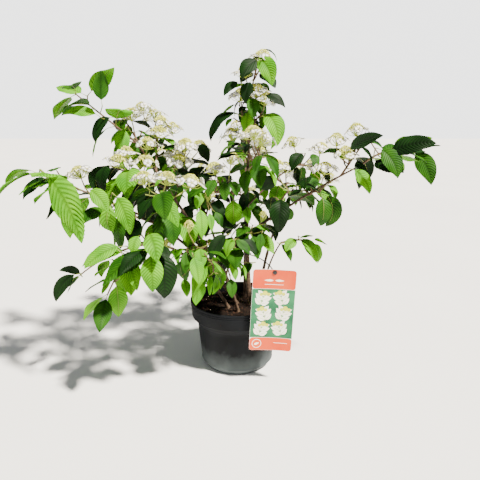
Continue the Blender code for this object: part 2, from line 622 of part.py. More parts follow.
def add_shoot(mass, side, name, grown, own, trees):
    """Adds a side shoot with its leaves, and its flower head on a stalk, if they find room."""
    base = along(grown["stem"], side["share"])[0]
    for attempt in range(ATTEMPTS):
        dice = random.Random(f"{mass['seed']} {name} {attempt}")
        heading = side["heading"] + dice.uniform(-15, 15)
        rise = side["rise"] + dice.uniform(-8, 8)
        twig = arc(base, heading, rise, side["length"] * dice.uniform(0.85, 1.15), 12, 2)
        lean = 72 + dice.uniform(-10, 10)
        stalk = arc(twig[-1], heading + dice.uniform(-30, 30), lean, dice.uniform(0.018, 0.030), 8, 2)
        line = twig + stalk[1:] if side["head"] else twig
        axis = (stalk[-1] - stalk[-2]).normalized()
        head = {
            "centre": stalk[-1], "axis": axis, "size": dice.uniform(0.85, 1.1), "turn": dice.uniform(0, 6)}
        trial = tube(line, [SHOOT_RADIUS + TRIAL_PAD] * len(line), TWIG_SIDES)
        parts = [trial, head_shape(head, TRIAL_PAD)] if side["head"] else [trial]
        if all(stays_in_space(part, grown["stem"]) and is_clear(part, trees + own[1:]) for part in parts):
            break
    else:
        return
    grown["twigs"].append(line)
    own.append(tree_of(tube(line[1:], [SHOOT_RADIUS] * (len(line) - 1), TWIG_SIDES)))
    if side["head"]:
        grown["heads"].append(head)
        own.append(tree_of(head_shape(head)))
    size = side["leaf"] or 0.75 * mass["leaf"]
    fall = side["fall"] or mass["fall"]
    for pair in range(side["pairs"]):
        roll = random.Random(f"{mass['seed']} {name} roll").uniform(0, 180)
        tip, axis = along(twig, 0.97)
        add_pair(mass, tip, axis, roll, side["splay"], fall, size, f"{name} pair {pair}", grown, own, trees)


def stem_radii(count):
    return [TWIG_FOOT_RADIUS + (TWIG_TIP_RADIUS - TWIG_FOOT_RADIUS) * k / (count - 1) for k in range(count)]


def seated(tree, foot, tip, bow, radii, sides):
    """Points of a bowed tube toward tip that starts where it first stands the gap clear of a limb's tree."""
    way = (Vector(tip) - foot).normalized()
    pad = GAP / math.cos(math.pi / sides)
    steps = len(radii) - 1
    for step in range(SEAT_STEPS):
        start = foot + way * (step * SEAT_STEP)
        points = [bowed(start, tip, bow, k / steps) for k in range(steps + 1)]
        padded = tube([start - way * GAP, *points[1:]], [radius + pad for radius in radii], sides)
        if not tree_of(padded).overlap(tree):
            break
    return points


def mass_shapes(grown):
    """Every closed shape that is fused into a mass, its stem first."""
    stem = grown["stem"]
    shapes = [tube(stem, stem_radii(len(stem)), TWIG_SIDES)]
    shapes += [tube(line, [SHOOT_RADIUS] * len(line), TWIG_SIDES) for line in grown["twigs"]]
    shapes += [leaf_shape(leaf) for leaf in grown["leaves"]]
    shapes += [head_shape(head) for head in grown["heads"]]
    return shapes


def paint(obj, colour, roughness, metallic=0.0):
    """Gives an object its own plain material."""
    material = bpy.data.materials.new(obj.name)
    material.use_nodes = True
    shader = material.node_tree.nodes["Principled BSDF"]
    shader.inputs["Base Color"].default_value = (*colour, 1.0)
    shader.inputs["Roughness"].default_value = roughness
    shader.inputs["Metallic"].default_value = metallic
    obj.data.materials.append(material)


def add_object(name, shape, collection=None):
    mesh = bpy.data.meshes.new(name)
    mesh.from_pydata([tuple(v) for v in shape[0]], [], shape[1])
    mesh.update()
    obj = bpy.data.objects.new(name, mesh)
    (collection or bpy.context.scene.collection).objects.link(obj)
    return obj


def smooth(obj, angle=40):
    obj.data.shade_smooth()
    obj.data.set_sharp_from_angle(angle=math.radians(angle))


def whole_bodies(mesh):
    """Drops loose scraps and sealed hollows, and tells whether the one body left is closed."""
    shape = bmesh.new()
    shape.from_mesh(mesh)
    bmesh.ops.triangulate(shape, faces=shape.faces)
    bmesh.ops.remove_doubles(shape, verts=shape.verts, dist=0.000002)
    bmesh.ops.dissolve_degenerate(shape, edges=shape.edges, dist=0.000002)
    left = set(shape.verts)
    bodies = []
    while left:
        body = [left.pop()]
        for vert in body:
            for edge in vert.link_edges:
                other = edge.other_vert(vert)
                if other in left:
                    left.discard(other)
                    body.append(other)
        bodies.append(body)
    bodies.sort(key=len, reverse=True)
    scraps = [vert for body in bodies[1:] for vert in body]
    bmesh.ops.delete(shape, geom=scraps, context="VERTS")
    closed = all(edge.is_manifold for edge in shape.edges)
    shape.to_mesh(mesh)
    shape.free()
    return closed


def fuse(name, shapes):
    """Joins closed shapes into one solid with a Boolean union on a collection."""
    for solver in ("EXACT", "MANIFOLD"):
        extra = bpy.data.collections.new(name + "_parts")
        bpy.context.scene.collection.children.link(extra)
        obj = add_object(name, shapes[0])
        for number, shape in enumerate(shapes[1:]):
            add_object(f"{name}_part_{number}", shape, extra)
        union = obj.modifiers.new("union", "BOOLEAN")
        union.operation = "UNION"
        union.operand_type = "COLLECTION"
        union.collection = extra
        union.solver = solver
        view = bpy.context.evaluated_depsgraph_get()
        joined = bpy.data.meshes.new_from_object(obj.evaluated_get(view))
        obj.modifiers.clear()
        for piece in list(extra.objects):
            bpy.data.objects.remove(piece)
        bpy.data.collections.remove(extra)
        obj.data = joined
        if whole_bodies(joined):
            break
        if solver == "EXACT":
            bpy.data.objects.remove(obj)
    return obj


def cut(obj, cutter):
    """Cuts a hidden guide out of an object."""
    cutter.hide_render = True
    cutter.display_type = "WIRE"
    modifier = obj.modifiers.new("cut", "BOOLEAN")
    modifier.operation = "DIFFERENCE"
    modifier.object = cutter
    modifier.solver = "EXACT"


def add_cutter(name, radius, depth, place, turn=(0, 0, 0)):
    guide = add_object(name, tube([Vector((0, 0, -depth / 2)), Vector((0, 0, depth / 2))], [radius] * 2, 16))
    guide.location = place
    guide.rotation_euler = turn
    return guide


def build_pot():
    pot = add_object("pot", pot_shape())
    for hole in range(DRAIN_HOLES):
        angle = 2 * math.pi * hole / DRAIN_HOLES + DRAIN_TURN
        place = (DRAIN_CIRCLE * math.cos(angle), DRAIN_CIRCLE * math.sin(angle), FLOOR / 2)
        cut(pot, add_cutter(f"drain_guide_{hole}", DRAIN_RADIUS, 4 * FLOOR, place))
    smooth(pot)
    paint(pot, (0.035, 0.040, 0.047), 0.55)
    soil = add_object("compost", soil_shape())
    paint(soil, (0.030, 0.018, 0.012), 0.95)
    return [pot, soil]


def build_card():
    card = add_object("care_card", card_shape())
    card.location = CARD_CENTRE
    card.rotation_euler = (0, math.radians(-CARD_LEAN), 0)
    cut(card, add_cutter("card_hole_guide", CARD_HOLE_RADIUS, 0.02, card_hole(), (math.radians(90), 0, 0)))
    paint(card, (0.78, 0.28, 0.18), 0.4)
    tie = fuse("card_tie", tie_shapes())
    smooth(tie)
    paint(tie, (0.02, 0.02, 0.02), 0.4)
    return [card, tie]


def seat_boughs():
    """Works out the foot of each bough that leaves the trunk."""
    for name, limb in LIMBS.items():
        if "from" in limb:
            trunk_tree = tree_of(limb_shape(limb["from"]))
            middle = limb_point(limb["from"], limb["at"])
            radii = [limb["radii"][0]] * (LIMB_STEPS + 1)
            limb["foot"] = seated(trunk_tree, middle, limb["tip"], limb["bow"], radii, LIMB_SIDES)[0]


def build_limbs():
    seat_boughs()
    limbs = []
    for name in LIMBS:
        limb = add_object(name, limb_shape(name))
        smooth(limb)
        paint(limb, (0.20, 0.11, 0.07), 0.8)
        limbs.append(limb)
    return limbs


def build_masses(solids):
    """Grows and fuses each mass in turn, clear of the solids and of the masses before it."""
    bpy.context.view_layer.update()
    view = bpy.context.evaluated_depsgraph_get()
    trees = []
    for obj in solids:
        mesh = obj.evaluated_get(view).to_mesh()
        verts = [obj.matrix_world @ v.co for v in mesh.vertices]
        trees.append(BVHTree.FromPolygons(verts, [tuple(p.vertices) for p in mesh.polygons]))
    for name in MASSES:
        shapes = mass_shapes(grow_mass(name, trees))
        mass = fuse(name, shapes)
        paint(mass, (0.13, 0.30, 0.06), 0.5)
        trees += [tree_of(shape) for shape in shapes]


def main():
    for obj in list(bpy.data.objects):
        bpy.data.objects.remove(obj)
    build_masses(build_pot() + build_card() + build_limbs())


main()
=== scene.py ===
# A potted Japanese snowball shrub in flower: bark, twigs, leaves, lacecap heads, pot, compost and card.
# Metres, +Z up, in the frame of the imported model. The photographed side faces -Y.
import json
import math
import random

import bmesh
import bpy
import numpy as np
from mathutils import Matrix, Vector, noise
from mathutils.bvhtree import BVHTree
from mathutils.kdtree import KDTree

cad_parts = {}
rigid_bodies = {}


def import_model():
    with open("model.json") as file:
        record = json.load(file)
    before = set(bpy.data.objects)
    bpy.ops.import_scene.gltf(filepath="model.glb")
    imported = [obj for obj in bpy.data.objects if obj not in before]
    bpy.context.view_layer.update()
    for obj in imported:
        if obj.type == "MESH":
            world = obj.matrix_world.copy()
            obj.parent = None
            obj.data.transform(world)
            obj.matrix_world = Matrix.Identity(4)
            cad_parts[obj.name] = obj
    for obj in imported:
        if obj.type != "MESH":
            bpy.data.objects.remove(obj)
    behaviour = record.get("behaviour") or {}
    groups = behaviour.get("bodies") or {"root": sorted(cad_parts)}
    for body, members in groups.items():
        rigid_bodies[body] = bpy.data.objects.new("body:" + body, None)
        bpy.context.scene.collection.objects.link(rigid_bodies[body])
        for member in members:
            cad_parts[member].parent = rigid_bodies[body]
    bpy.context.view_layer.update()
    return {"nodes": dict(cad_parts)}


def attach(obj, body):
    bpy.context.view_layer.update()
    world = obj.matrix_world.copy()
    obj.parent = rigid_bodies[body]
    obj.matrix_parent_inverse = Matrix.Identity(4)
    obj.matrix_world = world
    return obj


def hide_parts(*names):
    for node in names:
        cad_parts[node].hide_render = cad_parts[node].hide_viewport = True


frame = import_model()
nodes = frame["nodes"]
print("frame loaded:", len(nodes), "nodes")

limbFoot = 0.1223  # height of the flat cut under the stems, just above the compost
cameraPlace = Vector((0.006, -0.880, 0.488))  # where the photograph was taken from
facing = {"deep": 18, "other": 28}  # degrees that placed leaves are turned aside from the camera


def direction(heading, rise):
    turn, lift = math.radians(heading), math.radians(rise)
    return Vector((math.cos(lift) * math.cos(turn), math.cos(lift) * math.sin(turn), math.sin(lift)))


def between(one, other, share):
    return one + (other - one) * share


# A random amount either way
def spread(dice, most):
    return dice.uniform(-most, most)


# Cosine and sine of even steps round a circle
def circle(count, turn=0.0):
    spins = [2 * math.pi * k / count + turn for k in range(count)]
    return [(math.cos(spin), math.sin(spin)) for spin in spins]


keyWay = direction(-38, 56)  # toward the sun-like key light: from the right, front and above


# A limb as in the source: its foot, or the limb that carries it and the share of it where it starts, its
# tip, how far its middle bows, and the radius at each end
def limb(tip, bow, radii, foot=None, carrier=None, at=None):
    foot = foot and (*foot, limbFoot)
    return {"tip": tip, "bow": bow, "radii": radii, "foot": foot, "carrier": carrier, "at": at}


# A short side shoot: where it leaves its stem, which way, its pairs of leaves and whether it flowers
def shoot(share, heading, rise, **other):
    usual = {"length": 0.018, "pairs": 0, "head": True, "splay": 65, "fall": None, "leaf": None}
    return {"share": share, "heading": heading, "rise": rise, **usual, **other}


# The twist that turns a leaf's upper side to the camera, but sunlit and fresh leaves a little on toward
# the key light and those in painted shade a little away from it
def twistToCamera(start, tip, shade):
    chord = (tip - start).normalized()
    level = (Vector((0, 0, 1)) - chord * chord.z).normalized()
    side = chord.cross(level)
    view = (cameraPlace - start).normalized()
    ahead = math.atan2(side.dot(view), level.dot(view))
    aside = math.radians(facing.get(shade, facing["other"]))
    ways = sorted(
        (ahead - aside, ahead + aside),
        key=lambda turn: (level * math.cos(turn) + side * math.sin(turn)).dot(keyWay))
    return math.degrees(ways[0] if shade == "deep" else ways[1])


# A leaf that only this script grows: where its blade starts and ends, its fall in degrees, its width for
# its length, which of the greens it takes, and its twist in degrees where it doesn't face the camera
def leafAt(start, tip, fall, width, shade, twist=None):
    start, tip = Vector(start), Vector(tip)
    if twist is None:
        twist = twistToCamera(start, tip, shade)
    return {"start": start, "tip": tip, "fall": fall, "twist": twist, "width": width, "shade": shade}


# A spray of foliage: the limb and share of it that it leaves, its tip and bow, and the rest as in the source
# up to its seed. The shade gives the shares of sunlit, fresh and deep leaves: painted sun, mid green and
# painted shade. Only this script trims the leaves, grows spurs, and adds leaves and blooms: (place, size)
def spray(limb, at, tip, bow=(0, 0, 0), added=(), blooms=(), shoots=(), **other):
    return {
        "limb": limb, "at": at, "tip": tip, "bow": bow, "added": added, "blooms": blooms, "shoots": shoots,
        **other}


limbs = {
    "main_stem": limb((0.025, 0, 0.481), (-0.006, 0, 0), (0.0062, 0.0026), foot=(0.026, 0.004)),
    "right_bough": limb(
        (0.218, -0.06, 0.41), (0, 0, 0.006), (0.0036, 0.0019), carrier="main_stem", at=0.41),
    "right_side_bough": limb(
        (0.112, 0.04, 0.401), (0, 0, 0.004), (0.0026, 0.0016), carrier="main_stem", at=0.57),
    "right_low_bough": limb((0.084, -0.03, 0.261), (-0.004, 0, 0.012), (0.003, 0.0016), foot=(0.045, -0.01)),
    "left_low_bough": limb(
        (-0.165, -0.12, 0.285), (0.004, 0.004, 0.036), (0.0042, 0.0021), foot=(-0.018, -0.016)),
    "left_mid_bough": limb(
        (-0.225, -0.06, 0.343), (0.012, 0.004, 0.024), (0.0045, 0.002), foot=(-0.002, 0.008)),
    "left_high_bough": limb((-0.189, 0, 0.448), (0.008, 0, -0.006), (0.0048, 0.002), foot=(0.004, 0.022)),
    "back_left_bough": limb(
        (-0.1, 0.125, 0.35), (0.004, -0.006, 0.02), (0.0042, 0.002), foot=(-0.014, 0.04)),
    "back_bough": limb((0.018, 0.13, 0.395), (0, -0.008, 0.02), (0.0042, 0.002), foot=(0.016, 0.046)),
    "back_right_bough": limb(
        (0.108, 0.095, 0.32), (-0.006, -0.006, 0.02), (0.0042, 0.002), foot=(0.044, 0.026)),
    "front_bough": limb((-0.042, -0.12, 0.251), (0, 0.01, 0.022), (0.0036, 0.0018), foot=(0.002, -0.034))}

sprays = {
    "crown_top_spray": spray(
        "main_stem", 1, (0.04, 0.005, 0.59), (-0.006, 0, 0), nodes=5, roll=90, turn=30, leaf=0.057, splay=58,
        fall=100, seed=134, shade=(0.45, 0.35, 0.2), trim=0.86, spurs=5,
        added=[leafAt((0.039, -0.02, 0.593), (0.061, -0.045, 0.545), 70, 0.52, "sunlit", 48),
        leafAt((0.049, -0.025, 0.53), (0.084, -0.035, 0.507), 60, 0.5, "deep", 40),
        leafAt((0.045, 0.005, 0.61), (0.072, 0, 0.591), 95, 0.45, "fresh", 0),
        leafAt((0.035, -0.04, 0.588), (0.009, -0.055, 0.556), 60, 0.62, "deep", -50),
        leafAt((0.024, -0.03, 0.553), (0.015, -0.04, 0.517), 50, 0.6, "deep")], shoots=[shoot(0.25, 190, 50),
        shoot(0.55, 190, 50), shoot(0.7, 340, 60), shoot(0.12, 300, 50)]),
    "crown_right_spray": spray(
        "main_stem", 0.98, (0.045, -0.005, 0.495), (0, 0, 0.004), nodes=1, roll=60, turn=0, leaf=0.076,
        splay=45, fall=100, seed=275, shade=(0.6, 0.3, 0.1), trim=0.95, spurs=3,
        shoots=[shoot(0.6, 300, 40)]),
    "crown_left_spray": spray(
        "main_stem", 0.9, (0.005, 0, 0.515), (0, 0, 0.004), nodes=2, roll=60, turn=0, leaf=0.052, splay=50,
        fall=75, seed=400, shade=(0.15, 0.4, 0.45), trim=0.95, spurs=4,
        added=[leafAt((-0.003, -0.02, 0.501), (-0.046, -0.03, 0.45), 105, 0.42, "deep", -25),
        leafAt((0.002, -0.03, 0.553), (-0.022, -0.04, 0.529), 60, 0.5, "deep", -45)],
        blooms=[((-0.011, 0, 0.463), 0.85)], shoots=[shoot(0.5, 240, 60)]),
    "crown_front_spray": spray(
        "main_stem", 0.76, (0.04, -0.095, 0.43), nodes=3, roll=0, turn=90, leaf=0.078, splay=60, fall=85,
        seed=968, shade=(0.35, 0.45, 0.2), trim=0.62, spurs=4, shoots=[shoot(0.7, 20, 60),
        shoot(1, 200, 60)]),
    "crown_back_spray": spray(
        "main_stem", 0.86, (0.05, 0.07, 0.37), nodes=3, roll=60, turn=0, leaf=0.069, splay=60, fall=30,
        seed=448, shade=(0.3, 0.45, 0.25), trim=0.66, spurs=4, shoots=[shoot(0.7, 90, 60, pairs=1)]),
    "crown_low_spray": spray(
        "main_stem", 0.62, (-0.055, -0.07, 0.36), (0, 0, 0.006), nodes=3, roll=60, turn=30, leaf=0.079,
        splay=60, fall=100, seed=662, shade=(0.3, 0.45, 0.25), trim=0.62, spurs=10,
        added=[leafAt((-0.069, -0.095, 0.337), (-0.066, -0.115, 0.289), 50, 0.44, "sunlit"),
        leafAt((-0.047, -0.085, 0.33), (-0.043, -0.1, 0.299), 50, 0.4, "sunlit"),
        leafAt((-0.038, -0.08, 0.331), (-0.026, -0.09, 0.304), 50, 0.52, "fresh"),
        leafAt((0.008, -0.03, 0.327), (0.013, -0.045, 0.296), 50, 0.52, "sunlit")],
        blooms=[((-0.009, -0.03, 0.421), 0.9), ((-0.052, -0.085, 0.358), 0.6)],
        shoots=[shoot(0.6, 160, 65)]),
    "crown_foot_spray": spray(
        "main_stem", 0.42, (0.025, -0.05, 0.285), (0, 0, 0.004), nodes=2, roll=30, turn=30, leaf=0.075,
        splay=60, fall=75, seed=59, shade=(0.3, 0.4, 0.3), trim=0.74, spurs=10,
        added=[leafAt((0.046, -0.065, 0.291), (0.042, -0.075, 0.26), 50, 0.55, "fresh"),
        leafAt((0.025, -0.05, 0.289), (0.039, -0.06, 0.261), 50, 0.6, "deep")],
        blooms=[((0.048, -0.05, 0.317), 0.5)]),
    "right_side_spray": spray(
        "right_side_bough", 1, (0.16, 0.075, 0.395), (0, 0, 0.002), nodes=2, roll=0, turn=30, leaf=0.069,
        splay=55, fall=90, seed=439, shade=(0.3, 0.4, 0.3), trim=0.88, spurs=3,
        added=[leafAt((0.159, 0.02, 0.375), (0.133, 0, 0.352), 60, 0.5, "fresh", -50)],
        shoots=[shoot(0.3, 150, 60), shoot(1, 0, 60)]),
    "right_back_spray": spray(
        "right_side_bough", 0.6, (0.105, 0.05, 0.35), (0, 0, 0.002), nodes=2, roll=30, turn=60, leaf=0.072,
        splay=55, fall=60, seed=30, shade=(0.2, 0.4, 0.4), trim=0.82, spurs=2, shoots=[shoot(0.8, 90, 60)]),
    "right_inner_spray": spray(
        "right_bough", 0.2, (0.095, -0.05, 0.365), (0, 0, 0.004), nodes=2, roll=0, turn=0, leaf=0.08,
        splay=50, fall=100, seed=43, shade=(0.3, 0.4, 0.3), trim=0.8, spurs=3,
        added=[leafAt((0.072, -0.055, 0.377), (0.033, -0.065, 0.371), 60, 0.66, "deep")],
        blooms=[((0.073, -0.035, 0.407), 0.9)]),
    "right_middle_spray": spray(
        "right_bough", 0.55, (0.15, -0.055, 0.36), (0, 0, 0.004), nodes=1, roll=30, turn=30, leaf=0.074,
        splay=45, fall=100, seed=517, shade=(0.2, 0.5, 0.3), trim=0.92, spurs=4,
        blooms=[((0.158, -0.05, 0.405), 0.95)], shoots=[shoot(0.3, 200, 70, pairs=1)]),
    "right_upper_spray": spray(
        "right_bough", 0.84, (0.22, -0.055, 0.445), nodes=2, roll=0, turn=0, leaf=0.07, splay=60, fall=95,
        seed=524, shade=(0.2, 0.4, 0.4), trim=0.92, spurs=4,
        added=[leafAt((0.201, -0.075, 0.406), (0.226, -0.09, 0.366), 60, 0.46, "sunlit", 50),
        leafAt((0.2, -0.075, 0.44), (0.252, -0.085, 0.464), 50, 0.4, "deep")],
        blooms=[((0.182, -0.065, 0.434), 0.8)], shoots=[shoot(0.3, 190, 30, length=0.03),
        shoot(0.8, 180, 80)]),
    "right_tip_spray": spray(
        "right_bough", 1, (0.29, -0.065, 0.44), (0, 0, 0.008), nodes=5, roll=0, turn=0, leaf=0.08, splay=48,
        fall=30, seed=63, shade=(0.3, 0.3, 0.4), trim=0.98, spurs=1,
        added=[leafAt((0.308, -0.075, 0.433), (0.331, -0.1, 0.381), 55, 0.5, "fresh", 58),
        leafAt((0.241, -0.095, 0.435), (0.265, -0.115, 0.39), 60, 0.56, "fresh", 50),
        leafAt((0.253, -0.115, 0.438), (0.314, -0.145, 0.453), 45, 0.48, "deep", 60)]),
    "right_low_spray": spray(
        "right_low_bough", 1, (0.145, -0.015, 0.26), (0, 0, 0.004), nodes=2, roll=30, turn=90, leaf=0.052,
        splay=45, fall=75, seed=979, shade=(0.8, 0.2, 0), trim=0.92, spurs=1,
        added=[leafAt((0.084, -0.04, 0.261), (0.103, -0.045, 0.227), 60, 0.36, "fresh"),
        leafAt((0.128, -0.02, 0.266), (0.154, -0.035, 0.222), 45, 0.44, "sunlit")]),
    "left_high_tip_spray": spray(
        "left_high_bough", 1, (-0.295, 0, 0.535), nodes=3, roll=90, turn=30, leaf=0.082, splay=58, fall=60,
        seed=933, shade=(0.7, 0.3, 0), trim=0.96, spurs=0,
        added=[leafAt((-0.258, -0.02, 0.509), (-0.31, -0.035, 0.509), 50, 0.38, "sunlit"),
        leafAt((-0.238, -0.035, 0.522), (-0.232, -0.045, 0.571), 50, 0.6, "fresh")],
        shoots=[shoot(0.8, 60, 75, length=0.012, pairs=1, head=False, splay=22, fall=15, leaf=0.072)]),
    "left_high_side_spray": spray(
        "left_high_bough", 0.93, (-0.21, 0.035, 0.48), nodes=2, roll=0, turn=90, leaf=0.07, splay=58,
        fall=90, seed=772, shade=(0.2, 0.3, 0.5), trim=0.9, spurs=4,
        added=[leafAt((-0.231, 0, 0.485), (-0.258, -0.01, 0.44), 80, 0.45, "deep", -45),
        leafAt((-0.204, -0.02, 0.464), (-0.208, -0.035, 0.416), 50, 0.55, "sunlit", -35)],
        shoots=[shoot(0.5, 150, 70)]),
    "left_high_upper_spray": spray(
        "left_high_bough", 0.84, (-0.16, 0.05, 0.46), nodes=2, roll=60, turn=30, leaf=0.069, splay=58,
        fall=70, seed=331, shade=(0.25, 0.35, 0.4), trim=0.85, spurs=7, blooms=[((-0.181, 0.04, 0.507), 0.9),
        ((-0.128, 0.04, 0.473), 0.85)], shoots=[shoot(0.5, 300, 60), shoot(1, 90, 70), shoot(0.8, 0, 50)]),
    "left_high_inner_spray": spray(
        "left_high_bough", 0.68, (-0.115, 0.05, 0.4), nodes=2, roll=60, turn=0, leaf=0.085, splay=58,
        fall=60, seed=81, shade=(0.25, 0.35, 0.4), trim=0.82, spurs=8,
        added=[leafAt((-0.079, 0.03, 0.445), (-0.058, 0.02, 0.413), 60, 0.55, "deep")],
        blooms=[((-0.073, 0.045, 0.439), 0.95), ((-0.096, 0.02, 0.432), 0.9)], shoots=[shoot(0.5, 300, 60),
        shoot(1, 20, 60), shoot(0.8, 180, 60)]),
    "left_high_front_spray": spray(
        "left_high_bough", 0.74, (-0.22, -0.065, 0.41), nodes=3, roll=0, turn=90, leaf=0.092, splay=58,
        fall=95, seed=521, shade=(0.2, 0.3, 0.5), trim=0.85, spurs=7,
        blooms=[((-0.209, -0.055, 0.414), 0.95), ((-0.166, -0.03, 0.416), 1),
        ((-0.165, -0.015, 0.447), 0.95)], shoots=[shoot(0.6, 200, 60)]),
    "left_mid_tip_spray": spray(
        "left_mid_bough", 1, (-0.335, -0.1, 0.4), (0, 0, 0.002), nodes=5, roll=90, turn=30, leaf=0.093,
        splay=48, fall=65, seed=760, shade=(0.7, 0.25, 0.05), trim=0.98, spurs=2,
        added=[leafAt((-0.307, -0.135, 0.406), (-0.245, -0.185, 0.307), 45, 0.38, "sunlit", 60),
        leafAt((-0.321, -0.1, 0.392), (-0.359, -0.115, 0.358), 60, 0.42, "deep", -40)],
        shoots=[shoot(0.3, 170, 60)]),
    "left_mid_spray": spray(
        "left_mid_bough", 0.72, (-0.225, -0.095, 0.34), (0, 0, 0.002), nodes=3, roll=0, turn=60, leaf=0.076,
        splay=58, fall=90, seed=556, shade=(0.5, 0.3, 0.2), trim=0.82, spurs=7,
        added=[leafAt((-0.198, -0.125, 0.365), (-0.175, -0.145, 0.305), 55, 0.47, "sunlit", 55),
        leafAt((-0.241, -0.125, 0.377), (-0.21, -0.14, 0.341), 50, 0.52, "sunlit", 50)],
        shoots=[shoot(0.7, 90, 70)]),
    "left_mid_inner_spray": spray(
        "left_mid_bough", 0.6, (-0.125, -0.135, 0.37), (0, 0, 0.002), nodes=3, roll=0, turn=60, leaf=0.089,
        splay=58, fall=100, seed=73, shade=(0.35, 0.35, 0.3), trim=0.72, spurs=11,
        added=[leafAt((-0.143, -0.15, 0.374), (-0.102, -0.165, 0.325), 60, 0.42, "sunlit", 55)],
        blooms=[((-0.077, -0.105, 0.389), 1), ((-0.15, -0.115, 0.392), 0.9), ((-0.109, -0.125, 0.307), 0.6),
        ((-0.119, -0.12, 0.281), 0.5)], shoots=[shoot(0.8, 0, 70)]),
    "left_mid_centre_spray": spray(
        "left_mid_bough", 0.35, (-0.065, -0.1, 0.27), (0, 0, 0.002), nodes=3, roll=30, turn=90, leaf=0.081,
        splay=58, fall=100, seed=480, shade=(0.35, 0.35, 0.3), trim=0.68, spurs=13,
        added=[leafAt((-0.018, -0.105, 0.295), (-0.046, -0.12, 0.254), 50, 0.46, "deep")],
        blooms=[((-0.08, -0.115, 0.303), 0.6)], shoots=[shoot(0.8, 0, 70)]),
    "left_low_tip_spray": spray(
        "left_low_bough", 1, (-0.22, -0.145, 0.2), (0, 0, 0.008), nodes=4, roll=60, turn=90, leaf=0.068,
        splay=50, fall=50, seed=850, shade=(0.7, 0.25, 0.05), trim=0.96, spurs=3,
        added=[leafAt((-0.197, -0.135, 0.284), (-0.249, -0.16, 0.253), 45, 0.42, "sunlit"),
        leafAt((-0.189, -0.15, 0.274), (-0.163, -0.17, 0.217), 45, 0.48, "sunlit")]),
    "left_far_spray": spray(
        "left_low_bough", 0.9, (-0.285, -0.085, 0.215), (0, 0, 0.008), nodes=1, roll=0, turn=60, leaf=0.042,
        splay=50, fall=30, seed=890, shade=(0, 0.2, 0.8), trim=0.98, spurs=0,
        added=[leafAt((-0.286, -0.085, 0.213), (-0.32, -0.095, 0.164), 70, 0.38, "deep"),
        leafAt((-0.282, -0.085, 0.215), (-0.318, -0.09, 0.222), 70, 0.4, "deep")]),
    "left_low_spray": spray(
        "left_low_bough", 0.76, (-0.14, -0.16, 0.285), (0, 0, 0.004), nodes=2, roll=0, turn=30, leaf=0.1,
        splay=50, fall=70, seed=544, shade=(0.7, 0.2, 0.1), trim=0.88, spurs=5),
    "left_low_inner_spray": spray(
        "left_low_bough", 0.56, (-0.07, -0.11, 0.245), (0, 0, 0.004), nodes=3, roll=30, turn=90, leaf=0.059,
        splay=50, fall=90, seed=187, shade=(0.45, 0.35, 0.2), trim=0.76, spurs=10,
        added=[leafAt((-0.087, -0.115, 0.267), (-0.087, -0.13, 0.232), 50, 0.5, "fresh"),
        leafAt((-0.067, -0.135, 0.27), (-0.059, -0.15, 0.227), 50, 0.55, "sunlit"),
        leafAt((-0.092, -0.12, 0.22), (-0.086, -0.13, 0.19), 50, 0.58, "sunlit")]),
    "front_tip_spray": spray(
        "front_bough", 1, (-0.04, -0.125, 0.235), (0, 0, 0.008), nodes=2, roll=60, turn=0, leaf=0.059,
        splay=60, fall=65, seed=851, shade=(0.6, 0.35, 0.05), trim=0.9, spurs=4,
        added=[leafAt((-0.055, -0.125, 0.218), (-0.067, -0.14, 0.177), 50, 0.58, "sunlit"),
        leafAt((-0.036, -0.11, 0.22), (-0.042, -0.12, 0.188), 50, 0.6, "deep")]),
    "front_spray": spray(
        "front_bough", 0.5, (0, -0.09, 0.285), (0, 0, 0.004), nodes=3, roll=60, turn=60, leaf=0.063,
        splay=60, fall=85, seed=388, shade=(0.45, 0.35, 0.2), trim=0.76, spurs=10,
        added=[leafAt((-0.008, -0.105, 0.275), (0.016, -0.115, 0.251), 50, 0.5, "fresh"),
        leafAt((-0.012, -0.1, 0.244), (-0.003, -0.11, 0.212), 50, 0.46, "sunlit"),
        leafAt((-0.015, -0.065, 0.206), (-0.054, -0.07, 0.198), 50, 0.55, "deep"),
        leafAt((0.028, -0.07, 0.235), (0.006, -0.08, 0.211), 50, 0.5, "fresh"),
        leafAt((-0.01, -0.1, 0.213), (-0.008, -0.11, 0.18), 50, 0.6, "fresh")],
        blooms=[((-0.003, -0.1, 0.248), 0.5)]),
    "back_left_spray": spray(
        "back_left_bough", 1, (-0.175, 0.165, 0.385), (0, 0, 0.01), nodes=4, roll=90, turn=0, leaf=0.07,
        splay=55, fall=70, seed=194, shade=(0.3, 0.4, 0.3), trim=0.92, spurs=9,
        blooms=[((-0.196, 0.17, 0.423), 0.95)], shoots=[shoot(0.3, 100, 65, pairs=1),
        shoot(0.7, 200, 65, pairs=1)]),
    "back_left_inner_spray": spray(
        "back_left_bough", 0.66, (-0.045, 0.13, 0.36), (0, 0, 0.01), nodes=3, roll=60, turn=30, leaf=0.066,
        splay=55, fall=70, seed=834, shade=(0.1, 0.3, 0.6), trim=0.86, spurs=12,
        added=[leafAt((-0.101, 0.09, 0.313), (-0.11, 0.08, 0.26), 50, 0.55, "deep"),
        leafAt((-0.08, 0.09, 0.293), (-0.067, 0.08, 0.242), 50, 0.55, "deep"),
        leafAt((-0.114, 0.085, 0.272), (-0.086, 0.075, 0.23), 50, 0.55, "fresh")],
        blooms=[((-0.076, 0.15, 0.385), 0.95)], shoots=[shoot(0.6, 60, 65, pairs=1)]),
    "back_spray": spray(
        "back_bough", 1, (0.005, 0.205, 0.45), (0, 0, 0.01), nodes=4, roll=90, turn=90, leaf=0.07, splay=55,
        fall=70, seed=609, shade=(0.3, 0.4, 0.3), trim=0.9, spurs=6, shoots=[shoot(0.3, 0, 65, pairs=1),
        shoot(0.7, 180, 65, pairs=1)]),
    "back_low_spray": spray(
        "back_bough", 0.6, (0.055, 0.165, 0.275), (0, 0, 0.01), nodes=3, roll=60, turn=30, leaf=0.07,
